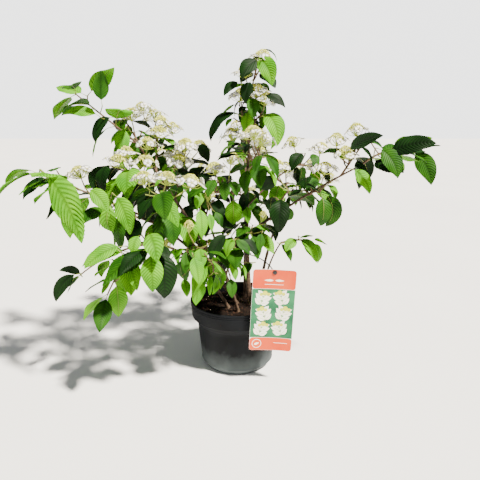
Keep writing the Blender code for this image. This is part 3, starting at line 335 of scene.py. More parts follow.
        splay=55, fall=70, seed=800, shade=(0.2, 0.4, 0.4), trim=0.84, spurs=9,
        added=[leafAt((-0.011, 0.1, 0.298), (-0.02, 0.09, 0.244), 50, 0.6, "deep")],
        blooms=[((0.056, 0.17, 0.342), 1), ((0.02, 0.15, 0.336), 0.9)]),
    "back_right_spray": spray(
        "back_right_bough", 1, (0.165, 0.14, 0.335), (0, 0, 0.01), nodes=4, roll=0, turn=0, leaf=0.066,
        splay=55, fall=70, seed=232, shade=(0.3, 0.4, 0.3), trim=0.92, spurs=9,
        blooms=[((0.161, 0.13, 0.394), 0.95), ((0.207, 0.15, 0.363), 0.9), ((0.133, 0.165, 0.375), 0.95)],
        shoots=[shoot(0.3, 60, 65, pairs=1)])}


growth = {  # the source's rule: sizes in metres, angles in degrees
    "attempts": 8, "stemAside": 0.0015, "gap": 0.0003, "seatStep": 0.0001, "seatSteps": 150,
    "limbSteps": 8, "limbSides": 6, "trunkSides": 8, "stemSteps": 4, "stemSides": 3,
    "rootFlare": 0.55, "flareHeight": 0.010, "stemRadii": (0.0021, 0.0013), "shootRadius": 0.0013,
    "lastSplay": 0.62, "headTop": 0.0095, "reach": 0.125, "stalk": 0.2, "found": 0.0001}
leafArch = {"stalk": 0.15, "foot": 0.35, "blade": 0.9}  # shares of a leaf's fall that bend each part of it
leafDraw = {  # the rule's draws of a leaf, either way or between two ends: degrees, or shares of the spray's
    "roll": 38, "splay": 22, "level": 0.7, "rise": 16, "fall": (0.45, 1.3), "length": (0.78, 1.15),
    "twist": 30}
shootDraw = {  # and of a side shoot with its pairs of leaves and its head, the head's stalk in metres
    "heading": 15, "rise": 8, "length": (0.85, 1.15), "arch": 12, "lean": 72, "leanSpread": 10,
    "aside": 30, "stalk": (0.018, 0.030), "stalkArch": 8, "size": (0.85, 1.1), "leaf": 0.75, "pairs": 0.97}


# Point at a share of the curve from foot to tip whose middle stands off the straight line by bow
def bowed(foot, tip, bow, share):
    foot, tip = Vector(foot), Vector(tip)
    middle = (foot + tip) / 2 + 2 * Vector(bow)
    return (1 - share) ** 2 * foot + 2 * share * (1 - share) * middle + share * share * tip


# Points of a shoot that sets out on a heading and rise, the rise changing by arch
def arc(start, heading, rise, length, arch, steps):
    points = [Vector(start)]
    for step in range(steps):
        turnedTo = rise + arch * (step + 0.5) / steps
        points.append(points[-1] + direction(heading, turnedTo) * (length / steps))
    return points


# Point and direction at a share of a line of equally long pieces
def along(points, share):
    place = min(share, 0.9999) * (len(points) - 1)
    piece = int(place)
    step = points[piece + 1] - points[piece]
    return points[piece] + step * (place - piece), step.normalized()


def limbPoint(name, share):
    limb = limbs[name]
    return bowed(limb["foot"], limb["tip"], limb["bow"], share)


def limbRadius(name, share):
    return between(*limbs[name]["radii"], share)


def stemRadii(count):
    return [between(*growth["stemRadii"], k / (count - 1)) for k in range(count)]


# A closed tapering tube along points, its first ring level if flatFoot
def tube(points, radii, sides, flatFoot=False):
    verts, faces, side = [], [], None
    for i, point in enumerate(points):
        way = (points[min(i + 1, len(points) - 1)] - points[max(i - 1, 0)]).normalized()
        if flatFoot and i == 0:
            way = Vector((0, 0, 1))
        side = way.orthogonal() if side is None else side - way * side.dot(way)
        side.normalize()
        other = way.cross(side)
        verts += [point + radii[i] * (ahead * side + aside * other) for ahead, aside in circle(sides)]
    for i in range(len(points) - 1):
        for k in range(sides):
            a, b = i * sides + k, i * sides + (k + 1) % sides
            faces.append((a, b, b + sides, a + sides))
    faces.append(tuple(range(sides))[::-1])
    faces.append(tuple(range(len(verts) - sides, len(verts))))
    return verts, faces


def treeOf(shape):
    return BVHTree.FromPolygons(*shape)


# Points of a bowed stem that starts where it first stands the gap clear of a limb, as in the source
def seated(tree, foot, tip, bow, radii, sides):
    way = (Vector(tip) - foot).normalized()
    pad = growth["gap"] / math.cos(math.pi / sides)
    steps = len(radii) - 1
    for step in range(growth["seatSteps"]):
        start = foot + way * (step * growth["seatStep"])
        points = [bowed(start, tip, bow, k / steps) for k in range(steps + 1)]
        padded = tube([start - way * growth["gap"], *points[1:]], [radius + pad for radius in radii], sides)
        if not treeOf(padded).overlap(tree):
            break
    return points


# The solid of a limb as the source makes it, to seat twigs on
def limbSolid(name):
    limb = limbs[name]
    rooted = not limb["carrier"]
    shares = [step / growth["limbSteps"] for step in range(growth["limbSteps"] + 1)]
    points = [limbPoint(name, share) for share in shares]
    radii = [limbRadius(name, share) for share in shares]
    if rooted:
        points.insert(1, limbPoint(name, growth["flareHeight"] / (limb["tip"][2] - limb["foot"][2])))
        radii.insert(0, radii[0] * (1 + growth["rootFlare"]))
    sides = growth["trunkSides"] if name == "main_stem" else growth["limbSides"]
    return tube(points, radii, sides, flatFoot=rooted)


# Settings of one leaf that leaves its twig at base, drawn from a named seed
def drawLeaf(base, axis, roll, splay, fall, size, name):
    dice = random.Random(name)
    side = axis.cross(Vector((0, 0, 1)))
    side = side.normalized() if side.length > 0.2 else Vector((1, 0, 0))
    turn = math.radians(roll + spread(dice, leafDraw["roll"]))
    out = math.cos(turn) * side + math.sin(turn) * side.cross(axis)
    angle = math.radians(splay + spread(dice, leafDraw["splay"]))
    way = math.cos(angle) * axis + math.sin(angle) * out
    rise = math.degrees(math.asin(max(-1.0, min(1.0, way.z)))) * leafDraw["level"]
    return {
        "base": base, "heading": math.degrees(math.atan2(way.y, way.x)),
        "rise": rise + spread(dice, leafDraw["rise"]), "fall": fall * dice.uniform(*leafDraw["fall"]),
        "length": size * dice.uniform(*leafDraw["length"]), "twist": spread(dice, leafDraw["twist"]),
        "stalk": size * growth["stalk"], "name": name}


# Start and tip of a leaf's blade
def leafEnds(leaf):
    heading, rise, fall = leaf["heading"], leaf["rise"], leaf["fall"]
    start = arc(leaf["base"], heading, rise, leaf["stalk"], -leafArch["stalk"] * fall, 1)[1]
    rise -= leafArch["foot"] * fall
    return start, arc(start, heading, rise, leaf["length"], -leafArch["blade"] * fall, 6)[-1]


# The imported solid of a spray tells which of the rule's tries found room: its corners are looked up here
def cornersOf(name):
    corners = nodes[name].data.vertices
    found = KDTree(len(corners))
    for corner in corners:
        found.insert(corner.co, corner.index)
    found.balance()
    return found


def isCorner(corners, point):
    return corners.find(point)[2] < growth["found"]


def keepPair(spray, corners, base, axis, roll, splay, fall, size, name):
    for turn in (0, 180):
        for attempt in range(growth["attempts"]):
            draw = f"{spray['seed']} {name} {turn} {attempt}"
            leaf = drawLeaf(base, axis, roll + turn, splay, fall, size, draw)
            if isCorner(corners, leafEnds(leaf)[1]):
                yield leaf
                break


# A side shoot of a spray with its leaves, and its flower head on a stalk
def keepShoot(spray, corners, side, name, grown):
    base = along(grown["stem"], side["share"])[0]
    for attempt in range(growth["attempts"]):
        dice = random.Random(f"{spray['seed']} {name} {attempt}")
        heading = side["heading"] + spread(dice, shootDraw["heading"])
        rise = side["rise"] + spread(dice, shootDraw["rise"])
        length = side["length"] * dice.uniform(*shootDraw["length"])
        twig = arc(base, heading, rise, length, shootDraw["arch"], 2)
        lean = shootDraw["lean"] + spread(dice, shootDraw["leanSpread"])
        heading += spread(dice, shootDraw["aside"])
        stalk = arc(twig[-1], heading, lean, dice.uniform(*shootDraw["stalk"]), shootDraw["stalkArch"], 2)
        axis = (stalk[-1] - stalk[-2]).normalized()
        head = {
            "centre": stalk[-1], "axis": axis, "size": dice.uniform(*shootDraw["size"]),
            "turn": dice.uniform(0, 6), "name": f"{spray['seed']} {name}"}
        if side["head"]:
            marks = [head["centre"] + axis * (growth["headTop"] * head["size"])]
        else:
            marks = tube(twig, [growth["shootRadius"]] * len(twig), growth["stemSides"])[0][-3:]
        if any(isCorner(corners, mark) for mark in marks):
            break
    else:
        return
    grown["twigs"].append(twig)
    if side["head"]:
        grown["heads"].append(head)
        grown["stalks"].append(stalk)
    size = side["leaf"] or shootDraw["leaf"] * spray["leaf"]
    fall = side["fall"] or spray["fall"]
    for pair in range(side["pairs"]):
        roll = random.Random(f"{spray['seed']} {name} roll").uniform(0, 180)
        tip, axis = along(twig, shootDraw["pairs"])
        draw = f"{name} pair {pair}"
        grown["leaves"] += keepPair(spray, corners, tip, axis, roll, side["splay"], fall, size, draw)


# The stem, twigs, leaves and heads of a spray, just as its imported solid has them
def keepSpray(name, spray):
    corners = cornersOf(name)
    foot = limbPoint(spray["limb"], spray["at"])
    limbTree = treeOf(limbSolid(spray["limb"]))
    best = (-1, None)
    for attempt in range(growth["attempts"]):
        dice = random.Random(f"{spray['seed']} stem {attempt}")
        aside = direction(dice.uniform(0, 360), 0) * growth["stemAside"] * attempt
        bow = Vector(spray["bow"]) + aside
        radii = stemRadii(growth["stemSteps"] + 1)
        stem = seated(limbTree, foot, spray["tip"], bow, radii, growth["stemSides"])
        hits = sum(isCorner(corners, spot) for spot in tube(stem, radii, growth["stemSides"])[0])
        if hits > best[0]:
            best = (hits, stem, bow)
        if hits > 6:
            break
    grown = {
        "stem": best[1], "bow": best[2], "foot": foot, "twigs": [], "stalks": [], "leaves": [], "heads": []}
    pairs = spray["nodes"]
    for node in range(pairs):
        base, axis = along(grown["stem"], min((node + 1) / pairs, 0.985))
        size = spray["leaf"] * (1.0 - 0.2 * (node / max(1, pairs - 1)) ** 2)
        splay = spray["splay"] * (growth["lastSplay"] if node == pairs - 1 else 1.0)
        roll = spray["roll"] + spray["turn"] * node
        draw = f"node {node}"
        grown["leaves"] += keepPair(spray, corners, base, axis, roll, splay, spray["fall"], size, draw)
    for number, side in enumerate(spray["shoots"]):
        keepShoot(spray, corners, side, f"shoot {number}", grown)
    return grown


for bough in limbs.values():
    if bough["carrier"]:
        trunkTree = treeOf(limbSolid(bough["carrier"]))
        middle = limbPoint(bough["carrier"], bough["at"])
        radii = [bough["radii"][0]] * (growth["limbSteps"] + 1)
        bough["foot"] = seated(trunkTree, middle, bough["tip"], bough["bow"], radii, growth["limbSides"])[0]
grown = {name: keepSpray(name, spray) for name, spray in sprays.items()}
for name, part in grown.items():
    for leaf in part["leaves"]:
        leaf["length"] *= sprays[name]["trim"]


def countOf(kind):
    return sum(len(part[kind]) for part in grown.values())


print("sprays found:", len(grown), "with", countOf("leaves"), "leaves and", countOf("heads"), "heads")


# Adds a node with its settings, fills or links its inputs by name or number, and gives one of its outputs
def addNode(tree, kind, inputs=None, out=0, **settings):
    made = tree.nodes.new(kind)
    for key, value in settings.items():
        setattr(made, key, value)
    for key, value in (inputs or {}).items():
        if isinstance(value, bpy.types.NodeSocket):
            tree.links.new(value, made.inputs[key])
        else:
            made.inputs[key].default_value = value
    return made if out is None else made.outputs[out]


# An sRGB colour as linear light
def linear(text):
    parts = [int(text[i:i + 2], 16) / 255 for i in (1, 3, 5)]
    return (*[c / 12.92 if c <= 0.04045 else ((c + 0.055) / 1.055) ** 2.4 for c in parts], 1.0)


# A material whose colour runs between two hex colours with a soft noise, size and bump depth in metres
def mottled(name, dark, light, size, roughness, bump=0.0, bumpSize=None, gloss=0.5):
    material = bpy.data.materials.new(name)
    material.use_nodes = True
    tree = material.node_tree
    skin = tree.nodes["Principled BSDF"].inputs
    place = addNode(tree, "ShaderNodeTexCoord", out="Object")
    cloud = addNode(tree, "ShaderNodeTexNoise", {"Vector": place, "Scale": 1 / size, "Detail": 3.0}, "Fac")
    ramp = addNode(tree, "ShaderNodeValToRGB", {"Fac": cloud}, None)
    for stop, colour, at in zip(ramp.color_ramp.elements, (dark, light), (0.30, 0.70)):
        stop.color = linear(colour)
        stop.position = at
    tree.links.new(ramp.outputs["Color"], skin["Base Color"])
    for label, value in (("Roughness", roughness), ("IOR", 1.45), ("Specular IOR Level", gloss)):
        skin[label].default_value = value
    if bump:
        detail = {"Vector": place, "Scale": 1 / bumpSize, "Detail": 2.0}
        grain = addNode(tree, "ShaderNodeTexNoise", detail, "Fac")
        raised = addNode(tree, "ShaderNodeBump", {"Height": grain, "Distance": bump, "Strength": 1.0})
        tree.links.new(raised, skin["Normal"])
    return material


# A material's tree, its base colour's input, and what feeds that input now
def baseColour(material):
    taken = material.node_tree.nodes["Principled BSDF"].inputs["Base Color"]
    return material.node_tree, taken, taken.links[0].from_socket


# Leaf greens, dealt out by spray, each only gently uneven: dark and light of the upper side, then the under.
# They are partly the leaves' own range of greens, partly painted light: painted sun and painted shade
leafFinish = {
    # sunlit leaves: soft yellow-green upper side, painted sunlight, with a waxy sheen; paler felted underside
    "sunlit": ("#47900A", "#70B814", "#68A022", "#84BA3A"),
    # fresh leaves in the crown: mid green, between the painted sun and the painted shade
    "fresh": ("#1A4907", "#35690F", "#3A671A", "#4E7B28"),
    # leaves of the shaded inside: painted shade, a very dark green for the shade they lie in
    "deep": ("#072004", "#113309", "#1A3C11", "#254A1A")}
# Painted shade: the colour in the pleats' valleys and along the midrib is darkened by this share
paintedValleyShade = (0.42, 0.42, 0.42, 1.0)  # how dark the pleats' valleys are beside their ridges


def leafMaterials(shade):
    topDark, topLight, underDark, underLight = leafFinish[shade]
    made = [
        mottled(f"leaf_cuticle_{shade}", topDark, topLight, 0.030, 0.50, gloss=0.12),
        mottled(f"leaf_underside_{shade}", underDark, underLight, 0.030, 0.75, gloss=0.06)]
    for material in made:
        tree, taken, plain = baseColour(material)
        # paints shade into the pleats' valleys, where the ridge attribute is 0
        ridge = addNode(tree, "ShaderNodeAttribute", out="Fac", attribute_name="ridge")
        inputs = {0: 1.0, 6: plain, 7: paintedValleyShade}
        shadedValley = addNode(tree, "ShaderNodeMix", inputs, 2, data_type="RGBA", blend_type="MULTIPLY")
        pleated = addNode(tree, "ShaderNodeMix", {0: ridge, 6: shadedValley, 7: plain}, 2, data_type="RGBA")
        tree.links.new(pleated, taken)
    return made


# Other surfaces: dark and light, size of the patches, roughness, then bump, its size and gloss if any
skins = {name: mottled(name, *look) for name, look in {
    # rough brown shrub bark with a grey bloom, and the smoother bark of its young twigs
    "shrub_bark": ("#2B1E13", "#614D3C", 0.006, 0.85, 0.0004, 0.0015),
    "young_twig_bark": ("#3C2919", "#715840", 0.010, 0.70, 0.0002, 0.0012),
    # green-brown shoots, paler leaf stalks and the pale rays of the flower heads
    "green_shoot_skin": ("#5E4C23", "#7A893B", 0.020, 0.55),
    "leaf_stalk_skin": ("#6C7A2C", "#98A552", 0.015, 0.55, 0, None, 0.3),
    "pale_green_ray_skin": ("#8EA22C", "#B6C458", 0.008, 0.55),
    # thin white petals with a soft matt face, and the yellow-green buds of the fertile flowers
    "white_petal": ("#F4F3E6", "#FFFEFA", 0.006, 0.60),
    "cream_flower_bud": ("#C6CA38", "#EEF08A", 0.004, 0.60),
    # moulded polypropylene in anthracite, matt
    "moulded_polypropylene_anthracite": ("#080A0D", "#101317", 0.035, 0.60, 0.00008, 0.0009, 0.10),
    # moist peat with bark fines, its darker chips, and granules of feed
    "peat_compost": ("#070504", "#18100B", 0.004, 0.95, 0.0012, 0.0022, 0.15),
    "composted_bark_chip": ("#120B07", "#382519", 0.003, 0.90, 0.0004, 0.001, 0.2),
    "fertiliser_granule": ("#C9B59A", "#E8DCC8", 0.001, 0.60),
    # printed polypropylene card: satin inks on a white sheet
    "card_white": ("#F2F0EA", "#FAF9F5", 0.030, 0.35),
    "card_coral_ink": ("#D23C06", "#DD5720", 0.040, 0.33, 0, None, 0.3),
    "card_teal_ink": ("#0F5A36", "#2F8050", 0.018, 0.33, 0, None, 0.3),
    "card_leaf_ink": ("#9CC46A", "#C3DC96", 0.010, 0.33),
    "card_cream_ink": ("#F6F2DC", "#FFFDF4", 0.008, 0.33),
    "card_lime_ink": ("#B9BE10", "#DBDA3C", 0.004, 0.33),
    # moulded nylon of the tie
    "black_nylon": ("#0E0F10", "#181A1C", 0.004, 0.38)}.items()}

# Painted light: sun painted on the pot, its colour lifted toward its foot; how high it reaches, with the
# unevenness of its edge
paintedFootLight = {"colour": "#525A5B", "spots": 60.0, "reach": 0.034, "uneven": 0.036, "full": 0.006, "cover": 0.9}


# Paints light on the pot's plastic: lighter toward its foot, up to an uneven edge
def paintFootLight(material):
    tree, taken, ownColour = baseColour(material)
    place = addNode(tree, "ShaderNodeTexCoord", out="Object")
    height = addNode(tree, "ShaderNodeSeparateXYZ", {0: place}, "Z")
    edgeNoise = addNode(tree, "ShaderNodeTexNoise", {"Vector": place, "Scale": paintedFootLight["spots"], "Detail": 4.0})
    top = addNode(
        tree, "ShaderNodeMath", {0: edgeNoise, 1: paintedFootLight["uneven"], 2: paintedFootLight["reach"]}, operation="MULTIPLY_ADD")
    share = addNode(
        tree, "ShaderNodeMapRange", {0: height, 1: top, 2: paintedFootLight["full"], 3: 0.0, 4: paintedFootLight["cover"]})
    inputs = {0: share, 6: ownColour, 7: linear(paintedFootLight["colour"])}
    tree.links.new(addNode(tree, "ShaderNodeMix", inputs, 2, data_type="RGBA"), taken)


paintFootLight(skins["moulded_polypropylene_anthracite"])
print("materials made")


def linked(name, data):
    obj = bpy.data.objects.new(name, data)
    bpy.context.scene.collection.objects.link(obj)
    return obj


# An object of points, faces or edges, with attributes of its points by name: (kind, values)
def meshObject(name, verts=(), faces=(), edges=(), **marks):
    mesh = bpy.data.meshes.new(name)
    mesh.from_pydata([tuple(v) for v in verts], edges, faces)
    for label, (kind, values) in marks.items():
        field = "vector" if kind == "FLOAT_VECTOR" else "value"
        mesh.attributes.new(label, kind, "POINT").data.foreach_set(field, values)
    mesh.update()
    return linked(name, mesh)


# An object from a bmesh, with its faces turned outwards
def shapeObject(name, shape):
    bmesh.ops.remove_doubles(shape, verts=shape.verts, dist=0.000005)
    bmesh.ops.recalc_face_normals(shape, faces=shape.faces)
    obj = meshObject(name)
    shape.to_mesh(obj.data)
    shape.free()
    return obj


# Turns an object's evaluated shape into a finished piece that rides on the body and stands for nodes
def finish(obj, name, slot, stands, *materials, crisp=None):
    view = bpy.context.evaluated_depsgraph_get()
    mesh = bpy.data.meshes.new_from_object(obj.evaluated_get(view))
    bpy.data.objects.remove(obj)
    mesh.name = name
    if materials:
        mesh.materials.clear()
        for material in materials:
            mesh.materials.append(material)
    if crisp:
        mesh.shade_smooth()
        mesh.set_sharp_from_angle(angle=math.radians(crisp))
    piece = linked(name, mesh)
    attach(piece, "root")
    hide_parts(*stands)
    print(f"  {name}: {sum(len(face.vertices) - 2 for face in mesh.polygons)} triangles")


# Cuts one object out of another
def cutOut(obj, cutter):
    cut = obj.modifiers.new("cut", "BOOLEAN")
    cut.operation = "DIFFERENCE"
    cut.solver = "EXACT"
    cut.object = cutter


# Gives an object a node tree, with the tree's named inputs set by their identifiers
def growOn(obj, tree, values):
    modifier = obj.modifiers.new("grow", "NODES")
    modifier.node_group = tree
    for socket in tree.interface.items_tree:
        if socket.in_out == "INPUT" and socket.name in values:
            modifier[socket.identifier] = values[socket.name]
    return obj


def newTree(name, **inputs):
    tree = bpy.data.node_groups.new(name, "GeometryNodeTree")
    for label, kind in {"Geometry": "Geometry", **inputs}.items():
        tree.interface.new_socket(label, in_out="INPUT", socket_type="NodeSocket" + kind)
    tree.interface.new_socket("Geometry", in_out="OUTPUT", socket_type="NodeSocketGeometry")
    return tree, addNode(tree, "NodeGroupInput", out=None).outputs


# The end of every tree: real copies, with their finish
def endTree(tree, given, shape, smooth):
    if smooth:
        shape = addNode(tree, "GeometryNodeSetShadeSmooth", {0: shape, "Shade Smooth": True})
    real = addNode(tree, "GeometryNodeRealizeInstances", {"Geometry": shape})
    done = addNode(tree, "GeometryNodeSetMaterial", {"Geometry": real, "Material": given["Finish"]})
    addNode(tree, "NodeGroupOutput", {"Geometry": done}, None)
    return tree


# Copies of a collection's shapes on points
def copied(tree, given, inputs):
    shapes = addNode(tree, "GeometryNodeCollectionInfo", {
        "Collection": given["Shapes"], "Separate Children": True, "Reset Children": True})
    inputs = {"Instance": shapes, "Pick Instance": True, **inputs}
    return addNode(tree, "GeometryNodeInstanceOnPoints", inputs)


# Tubes along lines of edges: each point's own thickness, smooth bends, rounded relief
def tubeTree():
    tree, given = newTree(
        "tubes_along_lines", Sides="Int", Step="Float", Relief="Float", Grain="Float", Finish="Material")
    curve = addNode(tree, "GeometryNodeMeshToCurve", {"Mesh": given["Geometry"]})
    soft = addNode(tree, "GeometryNodeCurveSplineType", {"Curve": curve}, spline_type="CATMULL_ROM")
    even = addNode(tree, "GeometryNodeResampleCurve", {"Curve": soft, "Length": given["Step"]}, mode="LENGTH")
    ring = addNode(tree, "GeometryNodeCurvePrimitiveCircle", {"Resolution": given["Sides"], "Radius": 1.0})
    thick = addNode(tree, "GeometryNodeInputNamedAttribute", {"Name": "thick"}, data_type="FLOAT")
    swept = addNode(tree, "GeometryNodeCurveToMesh", {
        "Curve": even, "Profile Curve": ring, "Scale": thick, "Fill Caps": True})
    size = addNode(tree, "ShaderNodeMath", {0: 1.0, 1: given["Grain"]}, operation="DIVIDE")
    rough = addNode(tree, "ShaderNodeTexNoise", {"Scale": size, "Detail": 2.0}, "Fac")
    centred = addNode(tree, "ShaderNodeMath", {0: rough, 1: 0.5}, operation="SUBTRACT")
    height = addNode(tree, "ShaderNodeMath", {0: centred, 1: given["Relief"]}, operation="MULTIPLY")
    normal = addNode(tree, "GeometryNodeInputNormal")
    offset = addNode(tree, "ShaderNodeVectorMath", {0: normal, "Scale": height}, operation="SCALE")
    raised = addNode(tree, "GeometryNodeSetPosition", {"Geometry": swept, "Offset": offset})
    return endTree(tree, given, raised, True)


# Copies of small shapes on points that carry their own turn, size and choice of shape
def settingTree():
    tree, given = newTree("shapes_on_points", Shapes="Collection", Finish="Material")
    points = addNode(tree, "GeometryNodeMeshToPoints", {"Mesh": given["Geometry"]})
    turn, size, pick = [
        addNode(tree, "GeometryNodeInputNamedAttribute", {"Name": name}, data_type=kind)
        for name, kind in (("turn", "FLOAT_VECTOR"), ("size", "FLOAT"), ("pick", "INT"))]
    rotation = addNode(tree, "FunctionNodeEulerToRotation", {0: turn})
    copies = copied(tree, given, {
        "Points": points, "Rotation": rotation, "Scale": size, "Instance Index": pick})
    return endTree(tree, given, copies, True)


# Small shapes scattered over the upward faces of a surface, turned every way
def scatterTree():
    tree, given = newTree(
        "shapes_on_a_surface", Shapes="Collection", Density="Float", Spacing="Float", Smallest="Float",
        Largest="Float", Seed="Int", Finish="Material")
    seed = given["Seed"]
    upright = addNode(tree, "ShaderNodeSeparateXYZ", {0: addNode(tree, "GeometryNodeInputNormal")}, "Z")
    upward = addNode(
        tree, "FunctionNodeCompare", {0: upright, 1: 0.35}, data_type="FLOAT", operation="GREATER_THAN")
    points = addNode(tree, "GeometryNodeDistributePointsOnFaces", {
        "Mesh": given["Geometry"], "Selection": upward, "Distance Min": given["Spacing"],
        "Density Max": given["Density"], "Seed": seed}, distribute_method="POISSON")
    turn = addNode(tree, "FunctionNodeRandomValue", {
        0: (-0.5, -0.5, 0.0), 1: (0.5, 0.5, 6.283), "Seed": seed}, data_type="FLOAT_VECTOR")
    size = addNode(tree, "FunctionNodeRandomValue", {
        2: given["Smallest"], 3: given["Largest"], "Seed": seed}, 1, data_type="FLOAT")
    rotation = addNode(tree, "FunctionNodeEulerToRotation", {0: turn})
    copies = copied(tree, given, {"Points": points, "Rotation": rotation, "Scale": size})
    return endTree(tree, given, copies, False)


tubes, settings, scatter = tubeTree(), settingTree(), scatterTree()
everyLimb, everySpray = list(limbs), list(sprays)


# A piece of tubes along lines of (point, thickness)
def tubePiece(name, lines, sides, step, material, slot, stands, relief=0.0, grain=0.01):
    verts, edges, thick = [], [], []
    for line in lines:
        first = len(verts)
        verts += [point for point, _ in line]
        thick += [radius for _, radius in line]
        edges += [(k, k + 1) for k in range(first, len(verts) - 1)]
    obj = meshObject(name + "_lines", verts, edges=edges, thick=("FLOAT", thick))
    growOn(obj, tubes, {
        "Sides": sides, "Step": step, "Relief": relief, "Grain": grain, "Finish": skins[material]})
    finish(obj, name, slot, stands)


# A collection of small shapes to copy, kept out of the scene
def shapeSet(name, shapes):
    group = bpy.data.collections.new(name)
    for number, (verts, faces) in enumerate(shapes):
        mesh = bpy.data.meshes.new(f"{name}_{number}")
        mesh.from_pydata([tuple(v) for v in verts], [], faces)
        group.objects.link(bpy.data.objects.new(f"{name}_{number}", mesh))
    return group


# A piece grown on an object out of copies of small shapes, which are dropped when it is done
def copiesPiece(name, obj, tree, shapes, material, slot, stands, **values):
    group = shapeSet(name, shapes)
    growOn(obj, tree, {"Shapes": group, "Finish": skins[material], **values})
    finish(obj, name, slot, stands)
    for shape in list(group.objects):
        bpy.data.objects.remove(shape)
    bpy.data.collections.remove(group)


# Trunk and boughs: swollen at each old leaf joint, flared at the foot, sunk into the compost, and a fifth
# slimmer than the solids, which are thickened for strength
barkwork = {
    "sides": 14, "step": 0.0025, "relief": 0.0009, "grain": 0.0028, "jointEvery": 0.032, "jointSwell": 0.16,
    "jointLength": 0.003, "jointPlace": (0.35, 0.65), "joints": 40, "flarePower": 1.4, "sunk": 0.006,
    "buttress": 1.1, "slim": 0.80}


def limbLine(name):
    limb = limbs[name]
    dice = random.Random(name)
    length = (Vector(limb["tip"]) - Vector(limb["foot"])).length
    joints = [
        barkwork["jointEvery"] * (k + dice.uniform(*barkwork["jointPlace"]))
        for k in range(barkwork["joints"])]
    count = int(length / barkwork["step"])
    line = []
    for step in range(count + 1):
        share = step / count
        away = share * length
        swell = sum(math.exp(-((away - joint) / barkwork["jointLength"]) ** 2) for joint in joints)
        radius = limbRadius(name, share) * barkwork["slim"] * (1 + barkwork["jointSwell"] * swell)
        if not limb["carrier"]:
            height = max(0.0, 1 - away / growth["flareHeight"])
            radius *= 1 + growth["rootFlare"] * height ** barkwork["flarePower"]
        line.append((limbPoint(name, share), radius))
    root, radius = line[0]
    if limb["carrier"]:
        return [(limbPoint(limb["carrier"], limb["at"]), radius), *line]
    return [(root - Vector((0, 0, barkwork["sunk"])), radius * barkwork["buttress"]), *line]


tubePiece(
    "limb_bark", [limbLine(name) for name in limbs], barkwork["sides"], barkwork["step"], "shrub_bark",
    "bark", everyLimb, barkwork["relief"], barkwork["grain"])


# Middle line of a blade at shares of its length, its way, its flat side and its face
def bladeFrame(leaf, shares):
    start, tip = leafEnds(leaf)
    heading = math.radians(leaf["heading"])
    out = np.array((math.cos(heading), math.sin(heading), 0.0))
    up = np.array((0.0, 0.0, 1.0))
    rise = math.radians(leaf["rise"] - leafArch["foot"] * leaf["fall"])
    bend = math.radians(-leafArch["blade"] * leaf["fall"])
    angle = rise + bend * shares
    reach = (np.sin(angle) - math.sin(rise)) / bend
    drop = (math.cos(rise) - np.cos(angle)) / bend
    middle = np.array(start) + leaf["length"] * (reach[:, None] * out + drop[:, None] * up)
    way = np.cos(angle)[:, None] * out + np.sin(angle)[:, None] * up
    chord = (tip - start).normalized()
    level = chord.cross(Vector((0, 0, 1)))
    level = level.normalized() if level.length > 0.05 else Vector((1, 0, 0))
    across = np.array(-(Matrix.Rotation(math.radians(leaf["twist"]), 3, chord) @ level))
    flat = across - way * (way @ across)[:, None]
    flat /= np.linalg.norm(flat, axis=1)[:, None]
    return middle, way, flat, np.cross(way, flat)


# A blade's grid, whose rows run out along the side veins: (share, across, side, row) of each point, and faces
def bladeGrid(rows, columns):
    spots, faces, found = [], [], {}

    def spot(row, column, side):
        if row in (0, rows):
            column, side = 0, 0
        if abs(column) == columns:
            side = 0
        key = (row, column, side)
        if key not in found:
            found[key] = len(spots)
            spots.append((row / rows, column / columns, side, row))
        return found[key]

    for side in (1, -1):
        for row in range(rows):
            for column in range(-columns, columns):
                corners = [spot(row, column, side), spot(row, column + 1, side),
                           spot(row + 1, column + 1, side), spot(row + 1, column, side)]
                corners = tuple(dict.fromkeys(corners))
                faces.append((corners[::-side], 0 if side == 1 else 1))
    return np.array(spots), faces


# The grids are those of a spray's own leaves, of the small leaves on spurs, and of tries for room
bladeForm = {
    "slant": 0.25, "slantCurve": (0.7, 0.9, 1.25), "outline": (0.80, 0.9), "body": 0.5, "pleat": 0.0115,
    "pleatStart": 0.25, "pleatFade": 0.55, "tooth": 0.006, "thickness": 0.0004, "wave": 0.022, "waves": 1.6,
    "waveShift": 1.7, "fold": (0.05, 0.34), "droop": 0.16, "width": (0.45, 0.62),
    "grids": ((26, 4), (18, 3), (5, 1))}
fine, small, test = (bladeGrid(rows, columns) for rows, columns in bladeForm["grids"])


# A curve that swells between two ends, its fullest place and its fullness by two powers
def swelling(share, place, fullness):
    return np.clip(np.sin(np.pi * share ** place), 0, None) ** fullness


# Points of a leaf blade: oval, pointed, pleated along its veins, toothed, folded and a little wavy
def bladePoints(leaf, spots):
    form, size = bladeForm, leaf["length"]
    dice = random.Random(leaf["name"] + " form")
    share, across, side, row = spots.T
    wide = np.abs(across)
    place, fullness, ahead = form["slantCurve"]
    station = np.clip(share + form["slant"] * swelling(share, place, fullness) * wide ** ahead, 0, 1)
    middle, way, flat, face = bladeFrame(leaf, station)
    wideness = leaf.get("width", dice.uniform(*form["width"]))
    half = 0.5 * wideness * size * swelling(station, *form["outline"])
    vein = np.where(row % 2 == 0, -1.0, 1.0)
    body = swelling(share, 1, form["body"])
    tooth = np.sign(across) * (wide == 1) * vein * form["tooth"] * size * 0.5 * body
    out = across * half - tooth
    pleat = form["pleat"] * size * vein * body
    pleat *= np.clip(wide / form["pleatStart"], 0, 1) * (1 - form["pleatFade"] * wide)
    fold = dice.uniform(*form["fold"]) * half * wide
    droop = form["droop"] * half * wide ** 2
    swing = 2 * np.pi * (form["waves"] * station + dice.random()) + (across < 0) * form["waveShift"]
    wave = form["wave"] * size * np.sin(swing)
    lift = pleat + fold - droop + wave * wide ** 2 * body + side * form["thickness"] / 2
    return middle + flat * out[:, None] + face * lift[:, None]


